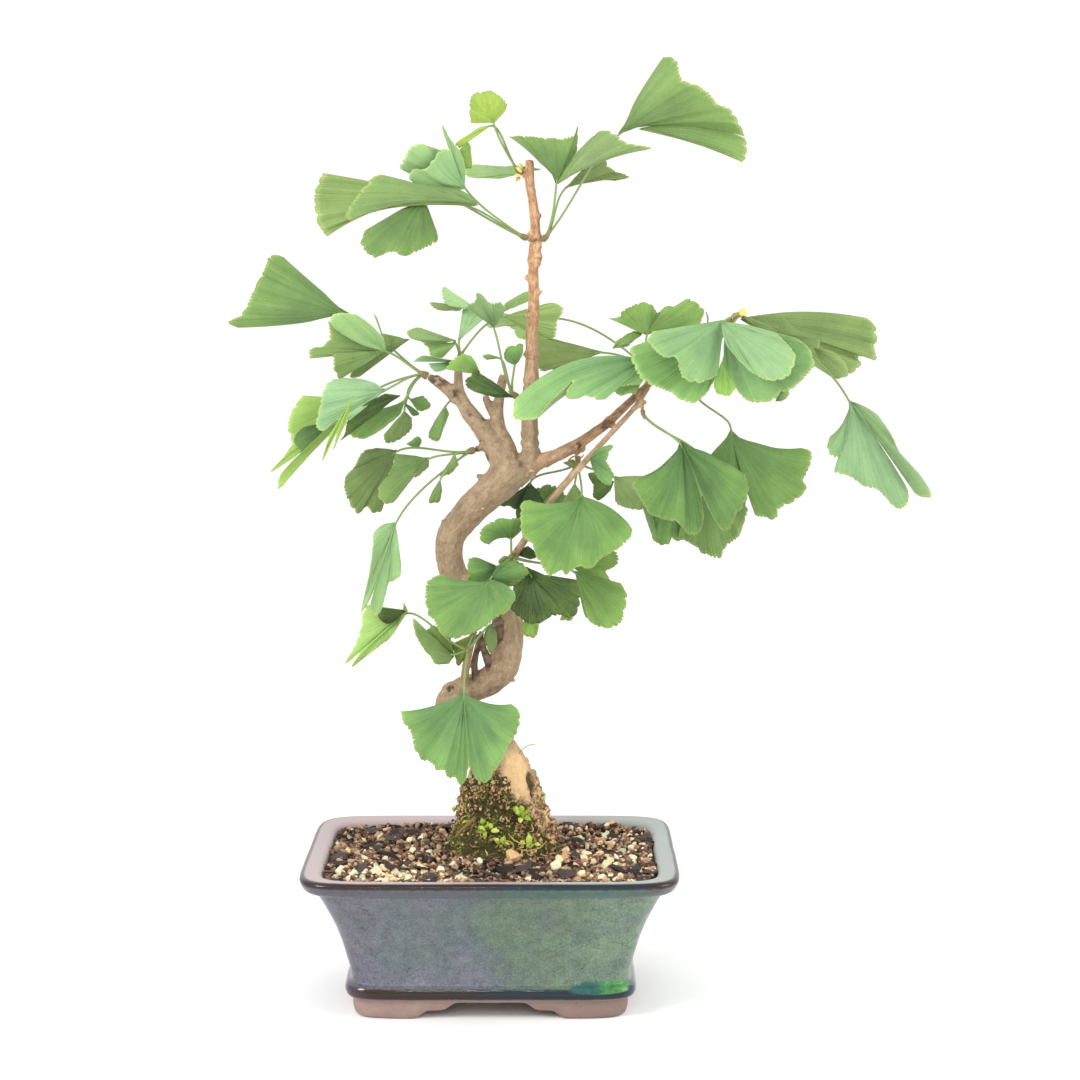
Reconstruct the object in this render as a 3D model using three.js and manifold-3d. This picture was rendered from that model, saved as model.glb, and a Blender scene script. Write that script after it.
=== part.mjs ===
// A ginkgo bonsai in its glazed rectangular pot, in millimetres, +Z up.
// The wood is one solid grown as one piece. Each spur carries one spray of fan leaves, which is a
// solid of its own. The pot, its two drain screens, the soil and the moss crust are the others.

import * as THREE from "three";
import { mergeVertices } from "three/addons/utils/BufferGeometryUtils.js";
import Module from "manifold-3d";

const wasm = await Module();
wasm.setup();

// ---------------------------------------------------------------- driving dimensions

const GAP = 0.3; // between solids that touch on the real plant

const POT_HALF_X = 100;
const POT_HALF_Y = 75;
const POT_SQUARENESS = 9; // power of the superellipse that the pot is on plan
const POT_SIDES = 28;
const FLOOR_Z = 16; // top of the pot's floor
// The pot's section, from the underside round the outside, over the rim and down the inside.
// Each point is a height and how far the outline is drawn in from the pot's half widths.
const POT_SECTION = [
  [10, 26],
  [11.5, 23.2],
  [14.5, 22.4],
  [17.5, 23.4],
  [19, 25],
  [34, 22.6],
  [50, 17.6],
  [62, 12.2],
  [71, 7.6],
  [72, 3.4],
  [76, 0.8],
  [79, 0],
  [80, 1.8],
  [79.4, 9.2],
  [77, 11.2],
  [50, 21],
  [FLOOR_Z, 30],
];

const FOOT_HALF_X = 74;
const FOOT_HALF_Y = 49.5;
const FOOT_WALL = 12;
const FOOT_TOP_Z = 12;
const HOLLOW_TOP_Z = 10; // of the hollow inside the foot ring
const ARCH_TOP_Z = 8.5; // crown of the arch between two feet
const ARCH_LONG = [42, 18]; // half widths of the arch at the ground and at its crown, long sides
const ARCH_SHORT = [26, 9]; // the same on the short sides

const DRAIN_RADIUS = 7;
const DRAIN_X = 34;
const SCREEN_SIDE = 26;
const SCREEN_THICK = 1.2;
const SCREEN_HOLES = 2; // holes along each side of a drain screen
const SCREEN_HOLE_SIDE = 8;

const SOIL_TOP_Z = 74.5;
const SOIL_BUMP = 1.1;
const GRAIN_COUNT = 12; // the large grains on the soil
const GRAIN_FIELD = [165, 112]; // sides of the field that they lie on
const ROOT_X = 7;
const ROOT_SPACE = 36; // radius of the level soil round the root

const BLADE_HALF_THICK = 0.32;
const PETIOLE_RADIUS = 0.75;
const BUD_LENGTH = 6;

// The plant is set out on an upright drawing plane through the middle of the pot, x across and z
// up, as it looks from EYE. The third number of a place is its depth behind the root, and a place
// keeps its line of sight from EYE whatever its depth is, so the front view stays as it is drawn.
const EYE = new THREE.Vector3(26.4, -1200, 396);
const TREE_DEPTH = 18; // the tree stands this far behind the middle of the pot

function at(x, z, depth) {
  const onPlane = new THREE.Vector3(x, 0, z);
  return onPlane.sub(EYE).multiplyScalar(1 - (TREE_DEPTH + depth) / EYE.y).add(EYE);
}

// ---------------------------------------------------------------- solids

// A closed geometry as a manifold solid: only positions count, and doubled vertices are merged.
function solidOf(geometry) {
  const bare = new THREE.BufferGeometry();
  bare.setAttribute("position", geometry.getAttribute("position"));
  if (geometry.index) bare.setIndex(geometry.index);
  const merged = mergeVertices(bare, 1e-3);
  const vertProperties = merged.attributes.position.array;
  const triVerts = new Uint32Array(merged.index.array);
  return new wasm.Manifold(new wasm.Mesh({ numProp: 3, vertProperties, triVerts }));
}

function geometryOf(solid) {
  const { numProp, vertProperties, triVerts } = solid.getMesh();
  const positions = new Float32Array((vertProperties.length / numProp) * 3);
  for (let i = 0; i < positions.length / 3; i++) {
    positions.set(vertProperties.subarray(i * numProp, i * numProp + 3), i * 3);
  }
  const geometry = new THREE.BufferGeometry();
  geometry.setAttribute("position", new THREE.BufferAttribute(positions, 3));
  geometry.setIndex(new THREE.BufferAttribute(triVerts, 1));
  return geometry;
}

function joined(solids) {
  return solids.reduce((whole, piece) => whole.add(piece));
}

// The largest body of a solid: a scrap that a cut leaves loose is dropped.
function mainBody(solid) {
  const bodies = solid.decompose();
  return bodies.reduce((best, body) => (body.volume() > best.volume() ? body : best));
}

function meshGeometry(points, triangles) {
  const geometry = new THREE.BufferGeometry();
  geometry.setFromPoints(points);
  geometry.setIndex(triangles);
  return geometry;
}

// Rings of points with equal counts, skinned one to the next and closed by a fan at each end.
function skinned(rings) {
  const count = rings[0].length;
  const triangles = [];
  for (let r = 0; r + 1 < rings.length; r++) {
    for (let i = 0; i < count; i++) {
      const [a, b] = [r * count + i, r * count + ((i + 1) % count)];
      triangles.push(a, b, a + count, b, b + count, a + count);
    }
  }
  const last = (rings.length - 1) * count;
  for (let i = 1; i + 1 < count; i++) {
    triangles.push(0, i + 1, i, last, last + i, last + i + 1);
  }
  return meshGeometry(rings.flat(), triangles);
}

// A round section carried along a curve. radius(t) is its radius at share t of the way.
function swept(curve, radius, sides, steps) {
  const rings = [];
  const side = new THREE.Vector3(0.31, 0.2, 0.93).cross(curve.getTangent(0)).normalize();
  for (let s = 0; s <= steps; s++) {
    const t = s / steps;
    const centre = curve.getPoint(t);
    const along = curve.getTangent(t);
    side.addScaledVector(along, -side.dot(along)).normalize();
    const across = new THREE.Vector3().crossVectors(along, side);
    const ring = [];
    for (let i = 0; i < sides; i++) {
      const turn = (2 * Math.PI * i) / sides;
      const r = radius(t, turn);
      ring.push(
        centre
          .clone()
          .addScaledVector(side, r * Math.cos(turn))
          .addScaledVector(across, r * Math.sin(turn)),
      );
    }
    rings.push(ring);
  }
  return solidOf(skinned(rings));
}

// ---------------------------------------------------------------- pot

function potOutline(halfX, halfY, z) {
  const soften = (value) => Math.sign(value) * Math.abs(value) ** (2 / POT_SQUARENESS);
  return Array.from({ length: POT_SIDES }, (_, i) => {
    const turn = (2 * Math.PI * (i + 0.5)) / POT_SIDES;
    const [x, y] = [halfX * soften(Math.cos(turn)), halfY * soften(Math.sin(turn))];
    return new THREE.Vector3(x, y, z);
  });
}

function upright(outline, zLow, zHigh) {
  const rings = [zLow, zHigh].map((z) => outline.map((p) => new THREE.Vector3(p.x, p.y, z)));
  return solidOf(skinned(rings));
}

function column(x, y, radius, zLow, zHigh) {
  const round = new THREE.CylinderGeometry(radius, radius, zHigh - zLow, 16);
  round.rotateX(Math.PI / 2);
  round.translate(x, y, (zLow + zHigh) / 2);
  return solidOf(round);
}

// The arch between two feet: it springs from the ground in an ogee and is level at its crown.
function arch([halfGround, halfCrown], alongX) {
  const shape = new THREE.Shape();
  const middle = (halfGround + halfCrown) / 2;
  shape.moveTo(-halfGround - 2, -1);
  shape.lineTo(halfGround + 2, -1);
  shape.lineTo(halfGround, 0);
  shape.bezierCurveTo(middle, ARCH_TOP_Z * 0.2, middle, ARCH_TOP_Z * 0.9, halfCrown, ARCH_TOP_Z);
  shape.lineTo(-halfCrown, ARCH_TOP_Z);
  shape.bezierCurveTo(-middle, ARCH_TOP_Z * 0.9, -middle, ARCH_TOP_Z * 0.2, -halfGround, 0);
  const depth = 2 * POT_HALF_X;
  const prism = new THREE.ExtrudeGeometry(shape, { depth, bevelEnabled: false, curveSegments: 4 });
  prism.translate(0, 0, -depth / 2);
  prism.rotateX(Math.PI / 2);
  if (alongX) prism.rotateZ(Math.PI / 2);
  return solidOf(prism);
}

function makePot() {
  const rings = POT_SECTION.map(([z, inset]) =>
    potOutline(POT_HALF_X - inset, POT_HALF_Y - inset, z),
  );
  const footRing = upright(potOutline(FOOT_HALF_X, FOOT_HALF_Y, 0), 0, FOOT_TOP_Z).subtract(
    upright(potOutline(FOOT_HALF_X - FOOT_WALL, FOOT_HALF_Y - FOOT_WALL, 0), -1, HOLLOW_TOP_Z),
  );
  const feet = footRing.subtract(arch(ARCH_LONG, false)).subtract(arch(ARCH_SHORT, true));
  const drains = [-DRAIN_X, DRAIN_X].map((x) => column(x, 0, DRAIN_RADIUS, 0, FLOOR_Z + 5));
  return solidOf(skinned(rings)).add(feet).subtract(joined(drains));
}

function block(sideX, sideY, sideZ, x, y, z) {
  const box = new THREE.BoxGeometry(sideX, sideY, sideZ);
  box.translate(x, y, z);
  return solidOf(box);
}

// A square of plastic mesh over a drain hole.
function makeScreen(x) {
  const z = FLOOR_Z + GAP + SCREEN_THICK / 2;
  const pitch = SCREEN_SIDE / SCREEN_HOLES;
  const holes = [];
  for (let i = 0; i < SCREEN_HOLES; i++) {
    for (let j = 0; j < SCREEN_HOLES; j++) {
      const [holeX, holeY] = [x + (i - 0.5) * pitch, (j - 0.5) * pitch];
      holes.push(block(SCREEN_HOLE_SIDE, SCREEN_HOLE_SIDE, 2 * SCREEN_THICK, holeX, holeY, z));
    }
  }
  return block(SCREEN_SIDE, SCREEN_SIDE, SCREEN_THICK, x, 0, z).subtract(joined(holes));
}

// ---------------------------------------------------------------- wood

// Each limb is a list of places along its middle: x, z, depth and radius.
const TRUNK = [
  [7, 46, 0, 11],
  [7, 64, 0, 22],
  [7, 80, 0, 27.5],
  [5, 93, 0, 25],
  [4, 106, 0, 23.4],
  [3, 119, 0, 20],
  [1, 131, 0, 14],
  [-6, 142, 2, 11.6],
  [-17, 151, 4, 10],
  [-21, 160, 4, 9],
  [-15, 167, 2, 8],
  [-6, 170, -1, 7.6],
  [1, 174, -4, 7.8],
  [7, 181, -6, 8.3],
  [9, 190, -6, 8.6],
  [10, 200, -4, 8.2],
  [9, 209, 0, 7.8],
  [4, 217, 3, 7.6],
  [-5, 222, 5, 7.6],
  [-15, 226, 6, 7.5],
  [-20, 232, 6, 7.3],
  [-22, 244, 5, 7.6],
  [-20, 254, 4, 8],
  [-13, 263, 2, 8.3],
  [-5, 271, 0, 8.8],
  [3, 278, 0, 9.4],
  [10, 286, 0, 10.6],
  [13, 293, 0, 8.6],
];
const LEADER = [
  [18, 284, 0, 6.4],
  [21, 294, 0, 5.6],
  [21, 303, 0, 4.6],
  [21, 314, 0, 4.4],
  [21, 326, -1, 4.3],
  [22, 337, -1, 3.9],
  [22, 348, 0, 3.6],
  [22, 359, 0, 3.5],
  [23, 370, 1, 3.1],
  [23, 384, 1, 2.9],
  [23, 400, 1, 3],
  [24, 407, 1, 3.6],
  [24, 413, 0, 2.8],
  [23, 427, 0, 2.6],
  [21, 440, 0, 2.6],
  [21, 451, 0, 2.3],
];
const LEFT_BRANCH = [
  [9, 286, 0, 8],
  [2, 299, 0, 5.8],
  [-6, 311, -1, 4.7],
  [-12, 319, -2, 4.3],
  [-16, 327, -2, 3.7],
  [-17, 334, -2, 2.6],
  [-17, 342, -2, 2.3],
];
const LEFT_STUB = [
  [-13, 321, -2, 3.6],
  [-21, 329, -3, 3.4],
  [-30, 336, -4, 2.9],
];
const MIDDLE_BRANCH = [
  [10, 287, 1, 7.5],
  [8, 300, 2, 5.8],
  [4, 311, 3, 4.9],
  [1, 321, 3, 4.3],
  [3, 330, 4, 3.7],
  [8, 338, 5, 3.1],
];
const MIDDLE_LEFT_STUB = [
  [2, 317, 3, 3.6],
  [-4, 331, 2, 2.7],
];
const MIDDLE_CUT = [
  [3, 313, 3, 4],
  [-4, 314, 1, 3.2],
];
const RIGHT_BRANCH = [
  [15, 285, 0, 7],
  [25, 291, 0, 4.8],
  [37, 296, 0, 3.7],
  [48, 302, 1, 3.3],
  [63, 313, 2, 2.6],
  [83, 332, 4, 2],
  [104, 350, 7, 1.8],
  [126, 366, 8, 1.7],
];
const SHOOT = [
  [-15, 166, -2, 2.8],
  [-14, 178, -9, 2.3],
  [-11, 193, -13, 2.2],
  [-6, 212, -15, 2.1],
  [3, 231, -15, 2],
  [13, 242, -14, 2.1],
  [32, 270, -17, 1.9],
  [58, 300, -17, 1.7],
  [78, 322, -11, 1.5],
  [85, 333, -3, 1.4],
];
const OLD_STEMS = [
  [
    [-7, 168, -4, 2.4],
    [-9, 182, -7, 1.8],
    [-5, 200, -5, 1.6],
  ],
  [
    [1, 176, -8, 3],
    [-4, 190, -9, 1.9],
    [-7, 198, -9, 2.4],
  ],
];
const RIGHT_STUB = [
  [76, 320, -13, 1.5],
  [83, 324, -14, 1.2],
];
const LIMBS = [
  LEADER,
  LEFT_BRANCH,
  LEFT_STUB,
  MIDDLE_BRANCH,
  MIDDLE_LEFT_STUB,
  MIDDLE_CUT,
  RIGHT_BRANCH,
  SHOOT,
  ...OLD_STEMS,
  RIGHT_STUB,
];

// A limb swollen by grow all round. Its skin swells and dips by barkBump of its radius.
function limb(places, sides, stepsPerPlace, grow = 0, barkBump = 0) {
  const curve = new THREE.CatmullRomCurve3(places.map(([x, z, depth]) => at(x, z, depth)));
  const radius = (t, turn) => {
    const place = t * (places.length - 1);
    const i = Math.min(Math.floor(place), places.length - 2);
    const plain = THREE.MathUtils.lerp(places[i][3], places[i + 1][3], place - i);
    const bump = Math.sin(3 * turn + 1.7 * place) + 0.7 * Math.sin(5 * turn - 2.3 * place);
    return plain * (1 + barkBump * bump) + grow;
  };
  return swept(curve, radius, sides, (places.length - 1) * stepsPerPlace);
}

// ---------------------------------------------------------------- leaves

// A leaf is a fan. leaf(apex, tip, spread, form): apex and tip are places, the tip being the
// middle of the outer edge, and spread is half the fan's angle in degrees. In form, roll turns
// the blade about its own axis (0 shows its upper face to EYE, 180 its underside), droop bends
// it along its length and fold across it, all in degrees. The other numbers are shares of its
// length: cleft is the depth of the notch, whose place across the fan is notch, from -1 to 1;
// corner is how much shorter the fan is at its corners; and lean is how much longer it is at its
// side of 1 and shorter at its side of -1. wave is a height.
const leaf = (apex, tip, spread, form = {}) => ({
  apex,
  tip,
  spread,
  roll: 0,
  droop: 20,
  fold: 10,
  cleft: 0,
  notch: 0,
  corner: 0.24,
  lean: 0,
  wave: 1.2,
  ...form,
});

// Each spray stands on a spur of the wood: from and to are the spur's ends, and radius its
// thickness. The bud at its end carries the leaves.
const SPRAYS = {
  crown_tip: {
    spur: { from: [21, 441, 0], to: [17, 444, -2], radius: 1.7 },
    leaves: [
      leaf([3, 468, -6], [-1, 486, -8], 72, { droop: 30, wave: 0.6 }),
      leaf([-1, 466, -5], [-15, 455, -4], 32, { roll: 62, wave: 0.4 }),
      leaf([-21, 440, 12], [-45, 453, 20], 30, { roll: 10 }),
      leaf([27, 448, 14], [-12, 442, 17], 30, { roll: 76, wave: 0.6 }),
    ],
  },
  crown_left: {
    spur: { from: [24, 408, 0], to: [19.5, 410, -3], radius: 1.7 },
    leaves: [
      leaf([-12, 437, -10], [-34, 456, -20], 50, { roll: 26, fold: 20 }),
      leaf([-7, 427, -16], [-75, 433, -28], 30, { roll: -54, droop: 25, cleft: 0.3, notch: 0.3 }),
      leaf([-11, 428, -6], [-92, 428, 6], 26, { roll: 44, cleft: 0.24, notch: -0.2 }),
      leaf([-34, 427, 4], [-49, 400, 8], 44, { roll: 8, cleft: 0.15, notch: -0.1 }),
    ],
  },
  crown_right: {
    spur: { from: [24, 406, 0], to: [27.5, 409, -2], radius: 1.7 },
    leaves: [
      leaf([35, 440, -6], [29, 465, -10], 50, { roll: 10, droop: 10 }),
      leaf([35, 441, -7], [84, 460, -16], 24, { roll: 62, droop: 34 }),
      leaf([39, 436, 6], [72, 447, 14], 28, { roll: 40, cleft: 0.2, notch: 0.2 }),
      leaf([67, 464, -4], [122, 479, -16], 40, { corner: 0.1, lean: -0.16, cleft: 0.45, notch: -0.6 }),
    ],
  },
  branch_left: {
    spur: { from: [-29, 335, -4], to: [-33, 337, -4], radius: 2.1 },
    leaves: [
      leaf([-72, 371, -2], [-131, 384, 14], 36, { roll: 50, droop: 12, lean: 0.16, corner: 0.1 }),
      leaf([-54, 352, -8], [-93, 350, -16], 42, { fold: 40, cleft: 0.45, notch: 0.35 }),
      leaf([-44, 354, 8], [-58, 349, 18], 26, { roll: 40 }),
      leaf([-56, 326, -22], [-93, 322, -34], 34, { roll: 20, droop: 36, cleft: 0.12 }),
      leaf([-72, 327, -36], [-87, 293, -42], 30, { roll: 66, droop: 20 }),
      leaf([-80, 321, -10], [-109, 286, -8], 38, { roll: 14, fold: 34, cleft: 0.5, notch: 0.1 }),
      leaf([-46, 323, 2], [-77, 304, 8], 30, { roll: 52, droop: 24 }),
      leaf([-41, 325, 16], [-53, 302, 24], 26, { roll: 160 }),
      leaf([-42, 325, 22], [-33, 317, 34], 40, { roll: 200, wave: 0.3 }),
    ],
  },
  leaf_left_small: {
    spur: { from: [-12, 319, -2], to: [-18, 323, 1], radius: 1.3 },
    leaves: [leaf([-24, 322, 2], [-31, 305, 0], 26, { roll: 40 })],
  },
  spur_left: {
    spur: { from: [-2, 300, 0], to: [-8.5, 298, -3], radius: 1.9 },
    leaves: [
      leaf([-39, 301, 8], [-71, 273, 16], 38, { roll: 8, cleft: 0.14, notch: 0.2 }),
      leaf([-32, 296, -8], [-56, 273, -14], 34, { roll: -14, cleft: 0.1 }),
      leaf([-41, 297, 12], [-42, 308, 12], 50, { wave: 0.2 }),
      leaf([-51, 259, -14], [-61, 210, -18], 26, { roll: 42, cleft: 0.35, notch: -0.1 }),
      leaf([-19, 296, -10], [-25, 286, -12], 24, { wave: 0.3 }),
      leaf([-27, 282, -14], [-31, 271, -16], 22, { wave: 0.3 }),
    ],
  },
  spur_upper_left: {
    spur: { from: [-17, 338, -2], to: [-16.4, 344.6, -2], radius: 1.9 },
    leaves: [
      leaf([-20, 354, -8], [-44, 359, -14], 28, { roll: 54 }),
      leaf([-11, 345, -12], [-42, 344, -20], 24, { roll: 58, droop: 34 }),
      leaf([-16, 358, 4], [-21, 376, 12], 40, { roll: 20, fold: 26 }),
      leaf([-6, 367, 10], [-33, 376, 16], 28, { roll: 60 }),
      leaf([4, 368, 16], [38, 367, 22], 30, { roll: 16, cleft: 0.12, notch: 0.3 }),
    ],
  },
  spur_leader: {
    spur: { from: [20, 322, -1], to: [14.5, 326, -3], radius: 1.8 },
    leaves: [
      leaf([4, 361, -12], [-3, 379, -20], 42, { roll: 10, fold: 24 }),
      leaf([13, 344, -6], [13, 354, -8], 54, { wave: 0.4 }),
      leaf([6, 347, -4], [-4, 347, -5], 18, { wave: 0.2 }),
      leaf([9, 329, -10], [-12, 335, -18], 36, { roll: 34, droop: 34 }),
    ],
  },
  spur_mid_right: {
    spur: { from: [84, 333, 4], to: [84, 338, 8], radius: 1.6 },
    leaves: [
      leaf([61, 350, 32], [25, 348, 42], 28, { roll: 128 }),
      leaf([72, 350, -10], [17, 322, -28], 22, { roll: 38, droop: 36 }),
      leaf([72, 349, -12], [56, 328, -22], 50, { roll: 16, wave: 2 }),
      leaf([84, 359, 16], [87, 377, 44], 56, { droop: 10, cleft: 0.3 }),
      leaf([82, 357, 22], [66, 350, 30], 26, { roll: 140 }),
      leaf([36, 366, 44], [14, 371, 50], 26, { roll: 20 }),
    ],
  },
  branch_right: {
    spur: { from: [124, 364.5, 8], to: [128.6, 367.8, 8], radius: 1.7 },
    leaves: [
      leaf([123, 369, -4], [123, 331, -34], 70, { droop: 30, fold: -14, corner: 0.1, cleft: 0.78 }),
      leaf([123, 366, 0], [123, 319, -20], 80, { droop: 26, fold: -4, corner: 0.04, cleft: 0.6 }),
      leaf([124, 352, 8], [125, 327, 2], 24, {}),
      leaf([142, 344, 14], [157, 323, 6], 22, { roll: 150 }),
      leaf([136, 368, 12], [201, 349, 30], 29, { roll: 140, droop: -26, cleft: 0.14, notch: 0.6 }),
      leaf([188, 327, -8], [202, 271, -14], 27, { lean: 0.2, corner: 0.16, wave: 2 }),
      leaf([190, 326, -6], [231, 276, 6], 22, { roll: 62, droop: 10 }),
      leaf([128, 310, 8], [148, 266, 12], 54, { roll: 6, corner: 0.14, cleft: 0.45, notch: -0.1 }),
    ],
  },
  shoot_right: {
    spur: { from: [80, 325, -13], to: [81, 319.5, -17], radius: 1.2 },
    leaves: [
      leaf([102, 302, -22], [107, 253, -30], 62, { corner: 0.16, cleft: 0.44, notch: 0.3 }),
      leaf([110, 290, -6], [124, 240, 2], 22, { roll: 30 }),
    ],
  },
  spur_right: {
    spur: { from: [46, 301, 1], to: [46.5, 295, 1], radius: 1.6 },
    leaves: [
      leaf([88, 282, 6], [95, 249, 8], 30, { roll: 40 }),
      leaf([84, 286, 14], [69, 271, 20], 34, { roll: 150 }),
      leaf([54, 297, -28], [64, 280, -32], 26, { roll: 30, fold: -30 }),
      leaf([53, 286, 8], [62, 271, 6], 30, { roll: 30 }),
      leaf([50, 273, -24], [41, 231, -34], 66, { fold: -10, corner: 0.12, cleft: 0.06 }),
      leaf([36, 284, 14], [27, 268, 18], 44, { roll: 20 }),
      leaf([39, 291, 2], [45, 288, 2], 16, { wave: 0.1 }),
    ],
  },
  shoot_mid: {
    spur: { from: [13, 242, -14], to: [12, 241, -19], radius: 1.8 },
    leaves: [
      leaf([28, 288, 12], [12, 267, 22], 40, { roll: 20 }),
      leaf([15, 253, -14], [-5, 253, -20], 36, { roll: 26, cleft: 0.1 }),
      leaf([19, 245, -22], [29, 247, -24], 30, { roll: 20, wave: 0.3 }),
      leaf([8, 246, -20], [1, 250, -21], 30, { roll: 20, wave: 0.3 }),
      leaf([-2, 228, -36], [-21, 198, -44], 68, { corner: 0.14, cleft: 0.1, notch: -0.2 }),
      leaf([21, 232, -30], [31, 205, -32], 58, { cleft: 0.1, notch: 0.3 }),
      leaf([45, 231, -14], [68, 208, -20], 34, { roll: 16 }),
      leaf([45, 240, 2], [68, 233, 4], 30, { roll: 22, cleft: 0.2 }),
      leaf([1, 232, -26], [-12, 239, -30], 38, { roll: 20 }),
      leaf([3, 237, -30], [18, 227, -34], 40, { roll: 10 }),
      leaf([39, 222, -16], [44, 206, -12], 32, {}),
      leaf([18, 217, -18], [22, 196, -14], 28, { roll: 30 }),
    ],
  },
  shoot_low: {
    spur: { from: [-11, 193, -13], to: [-12, 191, -18], radius: 1.7 },
    leaves: [
      leaf([-48, 210, -6], [-76, 185, -4], 34, { roll: 40, droop: 34, fold: 30 }),
      leaf([-22, 195, -18], [-42, 196, -16], 44, { roll: 30, cleft: 0.3, notch: -0.3 }),
      leaf([-12, 197, -24], [-21, 182, -28], 36, { roll: 10 }),
      leaf([-5, 201, -22], [-1, 187, -24], 26, { roll: 10 }),
      leaf([-15, 167, -34], [-14, 118, -44], 80, { fold: -10, corner: 0.16, cleft: 0.12 }),
    ],
  },
};

const smooth = (share) => THREE.MathUtils.smoothstep(share, 0, 1);

const NOTCH_HALF_WIDTH = 0.12; // of the fan's half width
const CREASE = 0.15; // half width of the round of a blade's fold, as a share of its length
const LARGE_LEAF = 22; // a shorter leaf has fewer triangles

// How far the outer edge reaches at u, from -1 to 1 across the fan, as a share of its length:
// the corners are rounded, the edge is crenate, and the notch cuts in as a V.

function edgeReach(form, u, seed) {
  const rounded = (1 + form.lean * u) * (1 - form.corner * u * u - 0.1 * Math.abs(u) ** 9);
  const crenate = 0.026 * Math.sin(19 * u + seed) + 0.018 * Math.sin(31 * u + 2 * seed);
  const inNotch = Math.max(0, 1 - Math.abs(u - form.notch) / NOTCH_HALF_WIDTH);
  return rounded + crenate - form.cleft * inNotch ** 0.8;
}

// The middle surface of a blade as a function of u across the fan and v from apex to edge.
function bladeSurface(form, seed) {
  const apex = at(...form.apex);
  const axis = at(...form.tip).sub(apex);
  const chord = axis.length();
  axis.normalize();
  const { degToRad } = THREE.MathUtils;
  const face = EYE.clone().sub(apex);
  face.addScaledVector(axis, -face.dot(axis)).normalize();
  face.applyAxisAngle(axis, degToRad(form.roll));
  const across = new THREE.Vector3().crossVectors(face, axis);
  const spread = degToRad(form.spread);
  const fold = degToRad(form.fold);
  const droop = degToRad(form.droop) || 1e-3;
  const length = (chord * droop) / 2 / Math.sin(droop / 2);
  const crease = CREASE * length;
  return (u, v) => {
    const angle = spread * u * (0.45 + 0.55 * smooth(v / 0.4));
    const reach = length * v * edgeReach(form, u, seed);
    const [ahead, aside] = [reach * Math.cos(angle), reach * Math.sin(angle)];
    const lifted = Math.sin(fold) * (Math.hypot(aside, crease) - crease);
    const height = lifted + form.wave * v * v * Math.sin(5 * u + seed);
    const turn = (droop * ahead) / length;
    const bent = (length / droop) * Math.sin(turn) + height * Math.sin(turn);
    const fallen = height * Math.cos(turn) - (length / droop) * (1 - Math.cos(turn));
    const [c, s] = [Math.cos(droop / 2), Math.sin(droop / 2)];
    return apex
      .clone()
      .addScaledVector(axis, bent * c - fallen * s)
      .addScaledVector(face, bent * s + fallen * c)
      .addScaledVector(across, aside * Math.cos(fold));
  };
}

// The places across the fan where a ring of the blade has its points.
function ringPlaces(count, form) {
  const even = Array.from({ length: count }, (_, i) => -1 + (2 * i) / (count - 1));
  if (form.cleft < 0.2 || count < 5) return even;
  const clear = even.filter((u) => Math.abs(u - form.notch) > 1.3 * NOTCH_HALF_WIDTH);
  const notch = [-1, 0, 1].map((side) => form.notch + side * NOTCH_HALF_WIDTH);
  return [...clear, ...notch].sort((a, b) => a - b);
}

// A blade: both faces are split into triangles alike, and a rim joins them.
function makeBlade(form, seed) {
  const surface = bladeSurface(form, seed);
  const large = at(...form.apex).distanceTo(at(...form.tip)) > LARGE_LEAF;
  const layout = large ? [[0.05, 3], [0.4, 3], [0.72, 5], [1, 10]] : [[0.08, 3], [0.55, 3], [1, 7]];
  const rings = layout.map(([v, count]) => ringPlaces(count, form).map((u) => ({ u, v })));
  const grid = rings.flat();
  const step = 0.01;
  const faces = [BLADE_HALF_THICK, -BLADE_HALF_THICK].map((offset) =>
    grid.map(({ u, v }) => {
      const point = surface(u, v);
      const alongU = surface(u + step, v).sub(surface(u - step, v));
      const alongV = surface(u, v + step).sub(surface(u, v - step));
      return point.addScaledVector(alongU.cross(alongV).normalize(), offset);
    }),
  );
  const upper = [];
  let start = 0;
  for (let r = 0; r + 1 < rings.length; r++) {
    const [inner, outer] = [rings[r], rings[r + 1]];
    const next = start + inner.length;
    let [i, j] = [0, 0];
    while (i + 1 < inner.length || j + 1 < outer.length) {
      const outerTurn = i + 1 === inner.length || outer[j + 1]?.u <= inner[i + 1].u;
      if (outerTurn && j + 1 < outer.length) {
        upper.push([start + i, next + j + 1, next + j]);
        j += 1;
      } else {
        upper.push([start + i, start + i + 1, next + j]);
        i += 1;
      }
    }
    start = next;
  }
  const size = grid.length;
  const lower = upper.map(([a, b, c]) => [a + size, c + size, b + size]);
  const firsts = rings.map((_, r) => rings.slice(0, r).flat().length);
  const lasts = rings.map((ring, r) => firsts[r] + ring.length - 1);
  const base = Array.from({ length: rings[0].length }, (_, i) => i);
  const edge = rings.at(-1).map((_, i) => firsts.at(-1) + i);
  const loop = [...base, ...lasts.slice(1), ...edge.reverse().slice(1), ...firsts.slice(1, -1).reverse()];
  const rim = loop.flatMap((a, i) => {
    const b = loop[(i + 1) % loop.length];
    return [
      [a, a + size, b],
      [b, a + size, b + size],
    ];
  });
  return meshGeometry(faces.flat(), [...upper, ...lower, ...rim].flat());
}

function makePetiole(form, seed, budCentre, outward) {
  const surface = bladeSurface(form, seed);
  const end = surface(0, 0.1);
  const arriving = end.clone().sub(surface(0, 0)).normalize();
  const span = end.distanceTo(budCentre);
  const toLeaf = end.clone().sub(budCentre).normalize();
  const leaving = outward.clone().multiplyScalar(0.5).add(toLeaf).normalize();
  const curve = new THREE.CubicBezierCurve3(
    budCentre,
    budCentre.clone().addScaledVector(leaving, span * 0.35),
    end.clone().addScaledVector(arriving, -span * 0.3),
    end,
  );
  const steps = THREE.MathUtils.clamp(Math.round(span / 12), 2, 3);
  return swept(curve, (t) => PETIOLE_RADIUS * (1.2 - 0.5 * t), 3, steps);
}

function spurAxis({ from, to }) {
  return at(...to).sub(at(...from)).normalize();
}

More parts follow.
